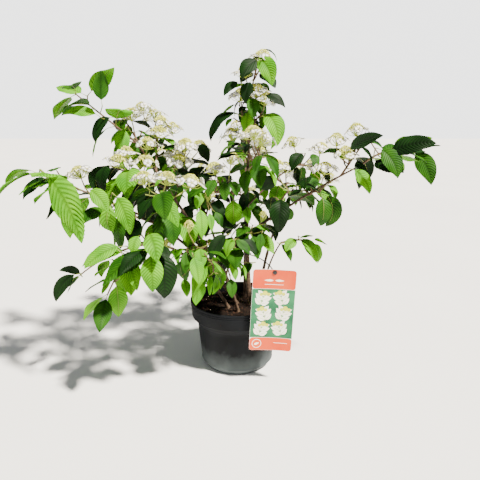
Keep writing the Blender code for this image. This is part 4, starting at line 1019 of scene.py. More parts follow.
# What only this script grows. A spur is a short twig with a pair of small leaves; placed leaves and heads
# drift a little from their places until they have room
spurForm = {
    "tries": 12, "place": (0.08, 0.95), "rise": (0, 60), "length": (0.012, 0.030), "arch": 12, "pair": 0.97,
    "leaf": (0.40, 0.66), "roll": 30, "splay": 62, "near": 0.14, "reach": 0.8}
placing = {
    "tries": 40, "drift": 0.022, "leafWays": (-60, 60), "headWays": (-20, 60), "leafSag": -0.002,
    "headSag": -0.12, "nod": 0.2, "lean": 0.35, "headDrop": 0.012}
# The low dome that stands for a head in tries for room, as in the source: radius and height of its rings
dome = {"foot": -0.006, "rings": ((0.026, 0.0), (0.014, 0.008)), "top": 0.010, "sides": 12}


# Vectors across an axis
def sidesOf(axis):
    side = axis.orthogonal().normalized()
    return side, axis.cross(side)


def domeShape(head):
    axis, size, sides = head["axis"], head["size"], dome["sides"]
    side, other = sidesOf(axis)
    verts = [head["centre"] + axis * (dome["foot"] * size)]
    for radius, height in dome["rings"]:
        for ahead, aside in circle(sides):
            spot = ahead * side + aside * other
            verts.append(head["centre"] + spot * (radius * size) + axis * (height * size))
    verts.append(head["centre"] + axis * (dome["top"] * size))
    faces = []
    for k in range(sides):
        a, b = 1 + k, 1 + (k + 1) % sides
        faces += [(0, b, a), (a, b, b + sides, a + sides), (a + sides, b + sides, 2 * sides + 1)]
    return verts, faces


def testShape(leaf):
    return [Vector(spot) for spot in bladePoints(leaf, test[0])], [face for face, _ in test[1]]


def joinedTree():
    verts, faces = [], []
    for obj in nodes.values():
        first = len(verts)
        verts += [corner.co.copy() for corner in obj.data.vertices]
        faces += [tuple(first + corner for corner in face.vertices) for face in obj.data.polygons]
    return treeOf((verts, faces))


solids, fresh = joinedTree(), []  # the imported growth, and (place, tree) of what is added here


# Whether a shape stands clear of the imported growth, and of the added growth within a distance
def hasRoom(own, place, within=1.0):
    return not own.overlap(solids) and not any(
        (place - other).length < within and own.overlap(tree) for other, tree in fresh)


# A drift that grows with each try
def driftAt(attempt, dice, ways):
    aside = direction(dice.uniform(0, 360), dice.uniform(*ways))
    return aside * (placing["drift"] * attempt / placing["tries"])


# A line of five points between two places, its middle lowered by sag
def slungLine(start, end, sag):
    return [bowed(start, end, (0, 0, sag), k / 4) for k in range(5)]


# The point of a spray's stem that is nearest to a place
def stemNear(part, place):
    spots = [along(part["stem"], share / 10)[0] for share in range(1, 11)]
    return min(spots, key=lambda spot: (spot - place).length)


# A placed leaf's arc, worked out from the two ends of its blade and how far it falls between them
def arcOf(leaf):
    chord, fall = leaf["tip"] - leaf["start"], leaf["fall"]
    half = leafArch["blade"] / 2 * fall
    length = chord.length * math.radians(half) / math.sin(math.radians(half))
    heading = math.degrees(math.atan2(chord.y, chord.x))
    rise = math.degrees(math.asin(chord.normalized().z)) + half + leafArch["foot"] * fall
    stalk = growth["stalk"] * length
    base = leaf["start"] - stalk * direction(heading, rise - leafArch["stalk"] / 2 * fall)
    return dict(leaf, base=base, heading=heading, rise=rise, length=length, stalk=stalk)


# Adds a spray's own leaves at their places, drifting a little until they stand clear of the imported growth
def addLeaves(name, part):
    for number, placed in enumerate(sprays[name]["added"]):
        given = arcOf(placed)
        dice = random.Random(f"{name} added {number}")
        for attempt in range(placing["tries"]):
            leaf = dict(given, name=f"{name} added {number}")
            leaf["base"] = given["base"] + driftAt(attempt, dice, placing["leafWays"])
            own = treeOf(testShape(leaf))
            if hasRoom(own, leaf["base"]):
                break
        else:
            print("  no room for a leaf of", name, tuple(placed["start"]))
            continue
        part["reachers"].append(slungLine(stemNear(part, leaf["base"]), leaf["base"], placing["leafSag"]))
        part["leaves"].append(leaf)
        fresh.append((leaf["base"], own))


# Adds the blooms of a spray: each head stands at its place, on a stalk from the nearest point of the stem
def addBlooms(name, part):
    for number, (place, size) in enumerate(sprays[name]["blooms"]):
        dice = random.Random(f"{name} bloom {number}")
        centre = Vector(place)
        for attempt in range(1, placing["tries"] + 1):
            base = stemNear(part, centre)
            nod = Vector((spread(dice, placing["nod"]), spread(dice, placing["nod"]), 1))
            axis = (nod + (centre - base).normalized() * placing["lean"]).normalized()
            head = {
                "centre": centre, "axis": axis, "size": size, "turn": dice.uniform(0, 6),
                "name": f"{name} bloom {number}"}
            own = treeOf(domeShape(head))
            if hasRoom(own, centre):
                break
            centre = Vector(place) + driftAt(attempt, dice, placing["headWays"])
        else:
            print("  no room for a bloom of", name, place)
            continue
        foot = centre - axis * placing["headDrop"]
        line = slungLine(base, foot, placing["headSag"] * (foot - base).length)
        part["heads"].append(head)
        part["stalks"].append([line[0], line[2], centre])
        part["bloomLines"].append(line)
        fresh.append((centre, own))


# Adds the spurs of a spray: each a short twig from its stem with a pair of small leaves that find room
def addSpurs(name, part):
    spray, stem = sprays[name], part["stem"]
    dice = random.Random(f"{spray['seed']} spurs")
    spots = [stem[0], (stem[0] + stem[-1]) / 2, stem[-1]]
    for number in range(spray["spurs"]):
        for _ in range(spurForm["tries"]):
            base = along(stem, dice.uniform(*spurForm["place"]))[0]
            heading, rise = dice.uniform(0, 360), dice.uniform(*spurForm["rise"])
            twig = arc(base, heading, rise, dice.uniform(*spurForm["length"]), spurForm["arch"], 2)
            tip, axis = along(twig, spurForm["pair"])
            pair = []
            for turn in (0, 180):
                size = spray["leaf"] * dice.uniform(*spurForm["leaf"])
                roll = spread(dice, spurForm["roll"]) + turn
                draw = f"{spray['seed']} spur {number} {turn} {dice.random():.4f}"
                leaf = drawLeaf(tip, axis, roll, spurForm["splay"], spray["fall"], size, draw)
                shape = testShape(leaf)
                far = max(min((corner - spot).length for spot in spots) for corner in shape[0])
                own = treeOf(shape)
                if far <= growth["reach"] * spurForm["reach"] and hasRoom(own, tip, spurForm["near"]):
                    pair.append((leaf, own))
            if pair:
                part["spurs"].append(twig)
                part["small"] += [leaf for leaf, _ in pair]
                fresh.extend((tip, own) for _, own in pair)
                break


for name, part in grown.items():
    part.update({"spurs": [], "small": [], "bloomLines": [], "reachers": []})
    addBlooms(name, part)
    addLeaves(name, part)
for name, part in grown.items():
    addSpurs(name, part)
print("spurs grown:", countOf("spurs"), "with", countOf("small"), "small leaves")


# Joins blades into one object, its vein lines, midrib and margin kept crisp
def leafPiece(name, leaves, shade):
    verts, faces, sides, rows, first = [], [], [], [], 0
    for number, (leaf, (grid, gridFaces)) in enumerate(leaves):
        verts.append(bladePoints(leaf, grid))
        faces += [tuple(first + corner for corner in face) for face, _ in gridFaces]
        sides += [side for _, side in gridFaces]
        row, across = grid[:, 3], grid[:, 1]
        rows.append(np.stack([np.full(len(grid), number), row, across, np.abs(across) == 1], axis=1))
        first += len(grid)
    mark = np.concatenate(rows)
    # ridge: 1 on pleat ridges, 0 in the valleys and on the midrib, where the leaf colour gets painted shade
    ridge = (mark[:, 1] % 2) * (np.abs(mark[:, 2]) > 0)
    obj = meshObject(name, np.concatenate(verts), faces, ridge=("FLOAT", ridge))
    mesh = obj.data
    mesh.polygons.foreach_set("material_index", sides)
    mesh.shade_smooth()
    ends = np.empty(2 * len(mesh.edges), dtype=int)
    mesh.edges.foreach_get("vertices", ends)
    one, two = mark[ends[::2]], mark[ends[1::2]]
    veins = (one[:, 1] == two[:, 1]) & (one[:, 1] % 2 == 0)
    midrib = (one[:, 2] == 0) & (two[:, 2] == 0)
    margin = (one[:, 3] == 1) & (two[:, 3] == 1)
    sharp = mesh.attributes.new("sharp_edge", "BOOLEAN", "EDGE")
    sharp.data.foreach_set("value", veins | midrib | margin)
    finish(obj, name, "foliage", everySpray, *leafMaterials(shade))


# Each spray's leaves are dealt among the three greens by its shares: painted sun, mid green, painted shade
dealt = {shade: [] for shade in leafFinish}
for name, part in grown.items():
    dice = random.Random(f"{sprays[name]['seed']} shade")
    for kind, grid in (("leaves", fine), ("small", small)):
        for leaf in part[kind]:
            shade = leaf.get("shade") or dice.choices(list(leafFinish), weights=sprays[name]["shade"])[0]
            dealt[shade].append((leaf, grid))
for shade, leaves in dealt.items():
    leafPiece(f"leaves_{shade}", leaves, shade)
print("leaves made:", {shade: len(leaves) for shade, leaves in dealt.items()})

# Woody stems and twigs of the sprays, green shoots, and leaf stalks that run on as midribs: radii in metres,
# those of stalks and ribs for a leaf of the full length
stemWork = {
    "steps": 12, "sides": 9, "step": 0.004, "relief": 0.0004, "grain": 0.003,
    "twig": (0.0013, 0.0012, 0.0012), "reacher": 0.0010, "reacherThins": 0.00003,
    "headStalk": (0.0013, 0.0010), "fullLeaf": 0.075, "leafStalk": (0.0011, 0.0008), "leastStalk": 0.0001,
    "rib": (0.00054, 0.00016), "ribSteps": 6, "ribEnd": 0.92}


# A leaf's stalk and the midrib under its blade
def ribLine(leaf):
    work = stemWork
    base, start = leaf["base"], leafEnds(leaf)[0]
    middle, _, _, face = bladeFrame(leaf, np.linspace(0.0, work["ribEnd"], work["ribSteps"] + 1))
    size = leaf["length"] / work["fullLeaf"]
    foot, half = work["leafStalk"]
    line = [(base, foot * size + work["leastStalk"]), ((base + start) / 2, half * size)]
    for k, (spot, up) in enumerate(zip(middle, face)):
        radius = between(*work["rib"], k / work["ribSteps"]) * size
        line.append((Vector(spot - up * radius), radius))
    return line


stemLines, shootLines, ribLines = [], [], []
for part in grown.values():
    stem, steps = part["stem"], stemWork["steps"]
    points = [part["foot"]] + [bowed(stem[0], stem[-1], part["bow"], k / steps) for k in range(steps + 1)]
    radii = stemRadii(steps + 1)
    stemLines.append(list(zip(points, radii[:1] + radii)))
    stemLines += [list(zip(twig, stemWork["twig"])) for twig in part["twigs"] + part["spurs"]]
    for line in part["bloomLines"] + part["reachers"]:
        thin = stemWork["reacherThins"]
        shootLines.append([(point, stemWork["reacher"] - thin * k) for k, point in enumerate(line)])
    for stalk in part["stalks"][:len(part["stalks"]) - len(part["bloomLines"])]:
        shootLines.append(list(zip(stalk, stemWork["headStalk"])))
    ribLines += [ribLine(leaf) for leaf in part["leaves"] + part["small"]]
tubePiece(
    "twigs", stemLines, stemWork["sides"], stemWork["step"], "young_twig_bark", "bark", everySpray,
    stemWork["relief"], stemWork["grain"])
tubePiece("leaf_stalks", ribLines, 5, 0.0065, "leaf_stalk_skin", "foliage", everySpray)


# Lacecap heads: a ring of large white florets round a dome of buds and tiny open flowers, on rays. A head
# smaller than allBuds has no florets yet
headForm = {
    "florets": (5, 8), "turn": 0.18, "ring": 0.0216, "ringSpread": (0.86, 1.06), "lift": -0.0026,
    "liftSpread": (-0.6, 1.6), "tilt": (10, 62), "floret": 0.0098, "floretSpread": (0.85, 1.1),
    "allBuds": 0.7, "eye": 0.0012, "eyeLift": 0.0006, "buds": 104, "budTurn": 0.2, "domeRadius": 0.0146,
    "domeRise": 0.0098, "riseSpread": (0, 0.0018), "budLean": 0.9, "bud": (0.0011, 0.0018),
    "openShare": 0.38, "openGrow": 1.35, "ray": 0.00045, "rayBow": (0.003, -0.002),
    "floretRay": (1.3, 1.0, 0.9), "budRay": (1.0, 0.8, 0.7), "rayEvery": 5, "rayFoot": 0.003,
    "stalk": (0.0009, 0.0008, 0.0006), "stalkTop": 0.004}
# A petal's half outline, ahead and aside for its length and half width, and a tiny flower's pad
petalForm = {
    "outline": ((0.10, 0.16), (0.38, 0.66), (0.68, 1.0), (0.90, 0.78), (1.0, 0.30)), "middle": 0.55,
    "cup": (0.5, 0.15), "thick": 0.00018, "count": 5, "turn": 0.08, "size": (0.90, 1.10), "least": 0.74,
    "broad": (0.98, 1.14), "cupped": (0.02, 0.30), "padTurn": 0.1,
    "pad": ((0.15, 0, 0), (0.9, 0.42, 0.35), (1.35, 0, 0.45), (0.9, -0.42, 0.35), (0.75, 0, 0.02))}


# Rotation whose Z lies along an axis, spun about it
def turnTo(axis, spin):
    return Matrix((*sidesOf(axis), axis)).transposed() @ Matrix.Rotation(spin, 3, "Z")


# A closed petal pad: broad, rounded, slightly cupped, from the middle out along +X, then turned
def petal(length, width, turn, cup, verts, faces):
    first = len(verts)
    turned = Matrix.Rotation(turn, 3, "Z")
    outline = petalForm["outline"]
    rim = [*outline, *[(x, -y) for x, y in outline[::-1]]]
    for x, y in rim:
        lift = cup * (y ** 2 + x * x) * petalForm["cup"][0]
        verts.append(turned @ Vector((x * length, y * width / 2, lift)))
    for thick in (petalForm["thick"], -petalForm["thick"]):
        middle = (petalForm["middle"] * length, 0, cup * petalForm["cup"][1] + thick)
        verts.append(turned @ Vector(middle))
    count = len(rim)
    for k in range(count):
        a, b = first + k, first + (k + 1) % count
        faces += [(b, a, first + count), (a, b, first + count + 1)]


# A floret of five petals, one of them smaller as on the real flower, each kind with its own unevenness
def floret(seed):
    dice = random.Random(f"floret {seed}")
    verts, faces = [], []
    for k in range(petalForm["count"]):
        turn = 2 * math.pi * k / petalForm["count"] + spread(dice, petalForm["turn"])
        size = dice.uniform(*petalForm["size"]) * (petalForm["least"] if k == 0 else 1.0)
        width = size * dice.uniform(*petalForm["broad"])
        petal(size, width, turn, dice.uniform(*petalForm["cupped"]), verts, faces)
    return verts, faces


# A tiny open flower of five small pads
def tinyFlower(seed):
    dice = random.Random(f"tiny {seed}")
    verts, faces = [], []
    for k in range(petalForm["count"]):
        turn = 2 * math.pi * k / petalForm["count"] + spread(dice, petalForm["padTurn"])
        turned = Matrix.Rotation(turn, 3, "Z")
        first = len(verts)
        verts += [turned @ Vector(corner) for corner in petalForm["pad"]]
        faces += [(first + 3, first + 2, first + 1, first)]
        faces += [(first + a, first + (a + 1) % 4, first + 4) for a in range(4)]
    return verts, faces


# An uneven ball
def pebble(rough, seed, flat=1.0):
    shape = bmesh.new()
    bmesh.ops.create_icosphere(shape, subdivisions=1, radius=1.0)
    dice = random.Random(f"pebble {seed}")
    for vert in shape.verts:
        vert.co *= 1 + dice.uniform(-rough, rough)
        vert.co.z *= flat
    verts = [vert.co.copy() for vert in shape.verts]
    faces = [tuple(vert.index for vert in face.verts) for face in shape.faces]
    shape.free()
    return verts, faces


# Rows of (place, rotation, size, choice of shape) for a head's florets and buds, and the lines of its rays
def headParts(head, stalk, florets, buds, rays):
    form, centre, axis, size = headForm, head["centre"], head["axis"], head["size"]
    dice = random.Random(head["name"] + " head")
    base = turnTo(axis, head["turn"])
    fork = centre - axis * placing["headDrop"]
    floretRay, budRay = [[form["ray"] * share for share in form[kind]] for kind in ("floretRay", "budRay")]
    bowOut, bowUp = form["rayBow"]
    count = dice.randint(*form["florets"]) if size > form["allBuds"] else 0
    for k in range(count):
        spin = 2 * math.pi * (k + spread(dice, form["turn"])) / count
        out = base @ Vector((math.cos(spin), math.sin(spin), 0))
        ring = form["ring"] * size * dice.uniform(*form["ringSpread"])
        place = centre + out * ring + axis * (form["lift"] * dice.uniform(*form["liftSpread"]))
        tilt = math.radians(dice.uniform(*form["tilt"]))
        face = (axis * math.cos(tilt) + out * math.sin(tilt)).normalized()
        grow = form["floret"] * size * dice.uniform(*form["floretSpread"])
        florets.append((place, turnTo(face, dice.uniform(0, 6)), grow, dice.randrange(floretKinds)))
        eye = face * form["eyeLift"]
        buds.append((place + eye, turnTo(face, 0.0), form["eye"], 0))
        rays.append(list(zip(
            (fork, (fork + place) / 2 + out * bowOut + axis * bowUp, place - eye), floretRay)))
    for k in range(form["buds"]):
        reach = math.sqrt((k + 0.5) / form["buds"])
        spin = k * math.pi * (3 - math.sqrt(5)) + spread(dice, form["budTurn"])
        out = base @ Vector((math.cos(spin), math.sin(spin), 0))
        rise = form["domeRise"] * (1 - reach ** 2) + dice.uniform(*form["riseSpread"])
        place = centre + out * (form["domeRadius"] * size * reach) + axis * rise
        face = (axis + out * (form["budLean"] * reach)).normalized()
        opened = dice.random() < form["openShare"]
        bud = dice.uniform(*form["bud"]) * size * (form["openGrow"] if opened else 1.0)
        buds.append((place, turnTo(face, dice.uniform(0, 6)), bud, int(opened)))
        if k % form["rayEvery"] == 2:
            rays.append(list(zip((fork, place - axis * form["rayFoot"], place), budRay)))
    rays.append(list(zip((stalk[1], fork, centre - axis * form["stalkTop"]), form["stalk"])))


# A piece of copies of small shapes, set at (place, rotation, size, choice of shape)
def spotPiece(name, spots, shapes, material):
    places, turns, sizes, picks = zip(*spots)
    angles = [angle for turn in turns for angle in turn.to_euler()]
    obj = meshObject(
        name + "_points", places, turn=("FLOAT_VECTOR", angles), size=("FLOAT", sizes), pick=("INT", picks))
    copiesPiece(name, obj, settings, shapes, material, "foliage", everySpray)


floretKinds = 4
floretSpots, budSpots, rayLines = [], [], []
for part in grown.values():
    for head, stalk in zip(part["heads"], part["stalks"]):
        headParts(head, stalk, floretSpots, budSpots, rayLines)
spotPiece("florets_white", floretSpots, [floret(seed) for seed in range(floretKinds)], "white_petal")
spotPiece("fertile_flowers", budSpots, [pebble(0.06, 1), tinyFlower(1)], "cream_flower_bud")
tubePiece("flower_rays", rayLines, 5, 0.0035, "pale_green_ray_skin", "foliage", everySpray)
tubePiece("flower_stalks", shootLines, 7, 0.0035, "green_shoot_skin", "foliage", everySpray)
print("flower heads made")


# Nursery pot, turned: its sizes are the source's, with the mould's grooves and rounded edges added
pot = {
    "segments": 144, "height": 0.138, "rim": 0.095, "band": 0.092, "bandFoot": 0.106, "bodyTop": 0.093,
    "body": 0.081, "heel": 0.073, "heelHeight": 0.013, "foot": 0.066, "wall": 0.0024,
    "floor": 0.003, "grooves": (0.0086, 0.0050), "grooveDepth": 0.0007, "grooveHalf": 0.0007,
    "groove": ((-1.6, 0), (-0.7, 1), (0.7, 1), (1.6, 0)), "bodySteps": 9,
    "holes": 6, "holeRadius": 0.0045, "holeCircle": 0.050, "holeTurn": 0.41}
# How its edges are rounded: steps out and up from the sharp edge
potEdges = {
    "foot": ((-0.003, 0), (-0.0009, 0.0009), (0, 0.003)),
    "heel": ((-0.0008, -0.0022), (0.0006, -0.0006), (0.0002, 0.0009)), "body": ((0, -0.001), (0.0006, 0)),
    "band": ((-0.0012, -0.0012), (-0.0003, -0.0004), (0, 0.0006)), "rim": ((-0.0002, -0.0010), (-0.0008, 0)),
    "lip": ((0.0006, 0), (0, -0.0008))}


def turnedShape(profile, segments):
    shape = bmesh.new()
    rings = []
    for radius, height in profile:
        if radius == 0:
            rings.append([shape.verts.new((0, 0, height))] * segments)
        else:
            rings.append([shape.verts.new((radius * x, radius * y, height)) for x, y in circle(segments)])
    for low, high in zip(rings, rings[1:]):
        for k in range(segments):
            after = (k + 1) % segments
            shape.faces.new(list(dict.fromkeys((low[k], low[after], high[after], high[k]))))
    return shape


def bandRadius(height):
    return between(
        pot["band"], pot["rim"], (height - pot["bandFoot"]) / (pot["height"] - pot["bandFoot"]))


# The inside of the pot from its rim's foot down to its floor, a little in from its wall and floor
def insideProfile(gap=0.0):
    inner, floor = pot["wall"] + gap, pot["floor"] + gap
    return [
        (pot["band"] - inner, pot["bandFoot"]), (pot["body"] - inner, pot["bodyTop"]),
        (pot["heel"] - inner, pot["heelHeight"]), (pot["foot"] - inner, floor), (0, floor)]


def roundedEdge(name, radius, height):
    return [(radius + out, height + up) for out, up in potEdges[name]]


def potPiece():
    height, body, bodyTop = pot["height"], pot["body"], pot["bodyTop"]
    heel, heelTop = pot["heel"], pot["heelHeight"]
    profile = [(0, 0), *roundedEdge("foot", pot["foot"], 0), *roundedEdge("heel", heel, heelTop)]
    for k in range(1, pot["bodySteps"]):
        share = k / pot["bodySteps"]
        profile.append((between(heel, body, share), between(heelTop, bodyTop, share)))
    profile += roundedEdge("body", body, bodyTop) + roundedEdge("band", pot["band"], pot["bandFoot"])
    for drop in pot["grooves"]:
        for step, depth in pot["groove"]:
            level = height - drop + step * pot["grooveHalf"]
            profile.append((bandRadius(level) - depth * pot["grooveDepth"], level))
    profile += roundedEdge("rim", pot["rim"], height)
    profile += roundedEdge("lip", pot["rim"] - pot["wall"], height)
    turned = shapeObject("pot_turned", turnedShape(profile + insideProfile(), pot["segments"]))
    drills = bmesh.new()
    for x, y in circle(pot["holes"], pot["holeTurn"]):
        place = Matrix.Translation((pot["holeCircle"] * x, pot["holeCircle"] * y, pot["floor"] / 2))
        bmesh.ops.create_cone(
            drills, cap_ends=True, segments=28, radius1=pot["holeRadius"], radius2=pot["holeRadius"],
            depth=4 * pot["floor"], matrix=place)
    drill = meshObject("drills")
    drills.to_mesh(drill.data)
    drills.free()
    cutOut(turned, drill)
    finish(
        turned, "pot_shell", "pot_plastic", ["pot"], skins["moulded_polypropylene_anthracite"], crisp=32)
    bpy.data.objects.remove(drill)


potPiece()

# Compost, lumpy on top and lower at the wall, with bark chips and a few feed granules lying on it
bed = {
    "rings": 34, "segments": 110, "top": 0.122, "edge": 0.117, "level": 0.060, "lump": 0.0032,
    "lumpSize": 0.011, "fine": 0.0012, "fineSize": 0.0035, "clear": 0.0003, "calm": 0.006, "settle": 0.0008,
    "skin": 0.0005}
scattered = {
    "compost_chips": {
        "Density": 42000.0, "Spacing": 0.0030, "Smallest": 0.0010, "Largest": 0.0034, "Seed": 3},
    "feed_granules": {
        "Density": 900.0, "Spacing": 0.009, "Smallest": 0.0009, "Largest": 0.0014, "Seed": 8}}


# A split chip of bark
def flake(thickness):
    low = ((-1.0, -0.35, -0.20), (0.9, -0.42, -0.10), (1.0, 0.30, -0.25), (-0.8, 0.40, -0.12))
    high = ((-0.9, -0.30, 0.20), (0.8, -0.30, 0.30), (0.9, 0.35, 0.20), (-1.0, 0.30, 0.25))
    verts = [Vector((x, y, z * thickness)) for x, y, z in low + high]
    sides = [(k, (k + 1) % 4, (k + 1) % 4 + 4, k + 4) for k in range(4)]
    return verts, [(3, 2, 1, 0), (4, 5, 6, 7), *sides]


def compostPiece():
    top, edge, level = bed["top"], bed["edge"], bed["level"]
    rim = bandRadius(edge) - pot["wall"] - bed["clear"]
    profile = [*insideProfile(bed["clear"])[::-1], (rim, edge)]
    for k in range(bed["rings"] - 1, 0, -1):
        radius = rim * k / bed["rings"]
        profile.append((radius, between(top, edge, max(0.0, (radius - level) / (rim - level)))))
    profile.append((0, top))
    shape = turnedShape(profile, bed["segments"])
    for vert in shape.verts:
        if vert.co.z > edge - bed["skin"]:
            hush = min(1.0, max(0.0, (rim - math.hypot(vert.co.x, vert.co.y)) / bed["calm"]))
            lump = noise.noise(vert.co / bed["lumpSize"]) * bed["lump"]
            lump += noise.noise(vert.co / bed["fineSize"]) * bed["fine"]
            vert.co.z += (lump - bed["settle"]) * hush
    obj = shapeObject("compost_turned", shape)
    obj.data.shade_smooth()
    chips = [flake(0.5), flake(0.9), pebble(0.25, 5, 0.6), pebble(0.2, 6, 0.8)]
    for name, shapes, material in (
            ("compost_chips", chips, "composted_bark_chip"),
            ("feed_granules", [pebble(0.08, 7)], "fertiliser_granule")):
        layer = linked(name + "_layer", obj.data.copy())
        copiesPiece(name, layer, scatter, shapes, material, "compost", ["compost"], **scattered[name])
    finish(obj, "compost_bed", "compost", ["compost"], skins["peat_compost"])


compostPiece()
print("pot and compost made")

# Care card: a curled plastic sheet with a hole, and its print as thin raised layers that follow the curl
card = {
    "width": 0.078, "height": 0.158, "thickness": 0.0008, "corner": 0.005, "centre": (0.065, -0.1000, 0.1515),
    "lean": -2.6, "curl": 0.003, "hole": 0.0026, "holeDrop": 0.0065, "ink": 0.00006, "inkLift": 0.00003,
    "header": 0.037, "footer": 0.026, "line": 0.0006, "edge": 0.0003, "strips": 26, "cornerSteps": 6}
# Generic sprigs, leaning in turn and staggered in rows: a stalk with rounded leaves in pairs, given as
# (share, size), each with its vein, and berries at the top, given as (aside, drop, radius)
sprigs = {
    "columns": 2, "rows": 3, "pitch": (0.0345, 0.0300), "shift": 0.002, "first": 0.0020, "lean": 16,
    "length": 0.0285, "stalk": 0.0013, "pairs": ((0.12, 0.90), (0.42, 1.0), (0.70, 0.84)), "spread": 58,
    "leaf": 0.0178, "broad": 0.62, "vein": (0.8, 0.0008),
    "berries": ((0.0, 0.0026, 0.0046), (-0.0066, 0.0050, 0.0032), (0.0066, 0.0050, 0.0032))}
# Ornaments from the top and from the lower left corner: a leaf pair, two lines and a ring round a leaf
ornaments = {
    "pair": (0.0015, 0.0205, 0.0165, 0.0042), "headerLine": (-0.017, 0.0285, 0.017, 0.0277),
    "footerLine": (0.006, 0.0150, 0.031, 0.0158), "ring": (0.0135, 0.0132), "radii": (0.0088, 0.0078),
    "ringLeaf": (0.0088, 0.0112, 0.0100, 0.0046, 22)}


# A place on the card, x and z from its middle and y forward of its sheet, in the frame
def onCard(x, z, forward):
    curl = -card["curl"] * (2 * x / card["width"]) ** 2
    lean = Matrix.Rotation(math.radians(-card["lean"]), 3, "Y")
    return Vector(card["centre"]) + lean @ Vector((x, curl - forward, z))


# A flat outline cut into strips, given thickness and laid on the card's curl
def cardLayer(shape, outline, back, front):
    flat = bmesh.new()
    flat.faces.new([flat.verts.new((x, 0, z)) for x, z in outline])
    for k in range(1, card["strips"]):
        x = card["width"] * (k / card["strips"] - 0.5)
        bmesh.ops.bisect_plane(
            flat, geom=flat.verts[:] + flat.edges[:] + flat.faces[:], plane_co=(x, 0, 0),
            plane_no=(1, 0, 0), dist=0.000001)
    rimEdges = [edge for edge in flat.edges if edge.is_boundary]
    frontOf, backOf = [
        {vert: shape.verts.new(onCard(vert.co.x, vert.co.z, forward)) for vert in flat.verts}
        for forward in (front, back)]
    for face in flat.faces:
        shape.faces.new([frontOf[vert] for vert in face.verts])
        shape.faces.new([backOf[vert] for vert in face.verts][::-1])
    for edge in rimEdges:
        a, b = edge.verts
        shape.faces.new([frontOf[a], backOf[a], backOf[b], frontOf[b]])
    flat.free()


def roundedBox(left, low, right, high, corner):
    outline = []
    for x, z, start in ((right - corner, high - corner, 0), (left + corner, high - corner, 90),
                        (left + corner, low + corner, 180), (right - corner, low + corner, 270)):
        for k in range(card["cornerSteps"] + 1):
            angle = math.radians(start + 90 * k / card["cornerSteps"])
            outline.append((x + corner * math.cos(angle), z + corner * math.sin(angle)))
    return outline


def box(left, low, right, high):
    return [(right, high), (left, high), (left, low), (right, low)]


# A pointed leaf on the card, from its foot along a heading in degrees
def cardLeaf(x, z, length, width, heading):
    turn = math.radians(heading)
    shares = (0.0, 0.18, 0.42, 0.7, 0.9, 1.0)
    outline = []
    for side, share in [(1, share) for share in shares[:-1]] + [(-1, share) for share in shares[:0:-1]]:
        out = side * width / 2 * math.sin(math.pi * share ** 0.8)
        ahead = share * length
        outline.append((x + ahead * math.cos(turn) - out * math.sin(turn),
                        z + ahead * math.sin(turn) + out * math.cos(turn)))
    return outline[::-1]


def disc(x, z, radius, count=12):
    return [(x + radius * ahead, z + radius * aside) for ahead, aside in circle(count)]


# Lays an outline on the card as ink, on top of the given number of layers
def lay(shape, outline, layer=0):
    back = card["thickness"] / 2 + card["inkLift"] + card["ink"] * layer
    cardLayer(shape, outline, back, back + card["ink"] * 0.8)


def printSprig(x, z, heading, stalks, leaves, berries):
    across, up = math.cos(math.radians(heading)), math.sin(math.radians(heading))
    length = sprigs["length"]
    x -= across * length / 2
    lay(stalks, cardLeaf(x, z, length, sprigs["stalk"], heading), 1)
    veinShare, veinWidth = sprigs["vein"]
    for share, size in sprigs["pairs"]:
        foot = (x + across * length * share, z + up * length * share)
        for side in (sprigs["spread"], -sprigs["spread"]):
            long = sprigs["leaf"] * size
            lay(leaves, cardLeaf(*foot, long, long * sprigs["broad"], heading + side), 2)
            lay(stalks, cardLeaf(*foot, long * veinShare, veinWidth, heading + side), 3)
    for aside, drop, radius in sprigs["berries"]:
        lay(berries, disc(x + across * length + aside, z + up * length - drop, radius), 3)


def printOrnaments(left, low, high, cream, bands):
    aside, drop, length, width = ornaments["pair"]
    for way, heading in ((1, 0), (-1, 180)):
        lay(cream, cardLeaf(way * aside, high - drop, length, width, heading), 1)
    start, drop, end, lastDrop = ornaments["headerLine"]
    lay(cream, box(start, high - drop, end, high - lastDrop), 1)
    start, rise, end, lastRise = ornaments["footerLine"]
    lay(cream, box(start, low + rise, end, low + lastRise), 1)
    aside, rise = ornaments["ring"]
    for shape, radius, layer in zip((cream, bands), ornaments["radii"], (1, 2)):
        lay(shape, disc(left + aside, low + rise, radius, 32), layer)
    aside, rise, length, width, heading = ornaments["ringLeaf"]
    lay(cream, cardLeaf(left + aside, low + rise, length, width, heading), 3)


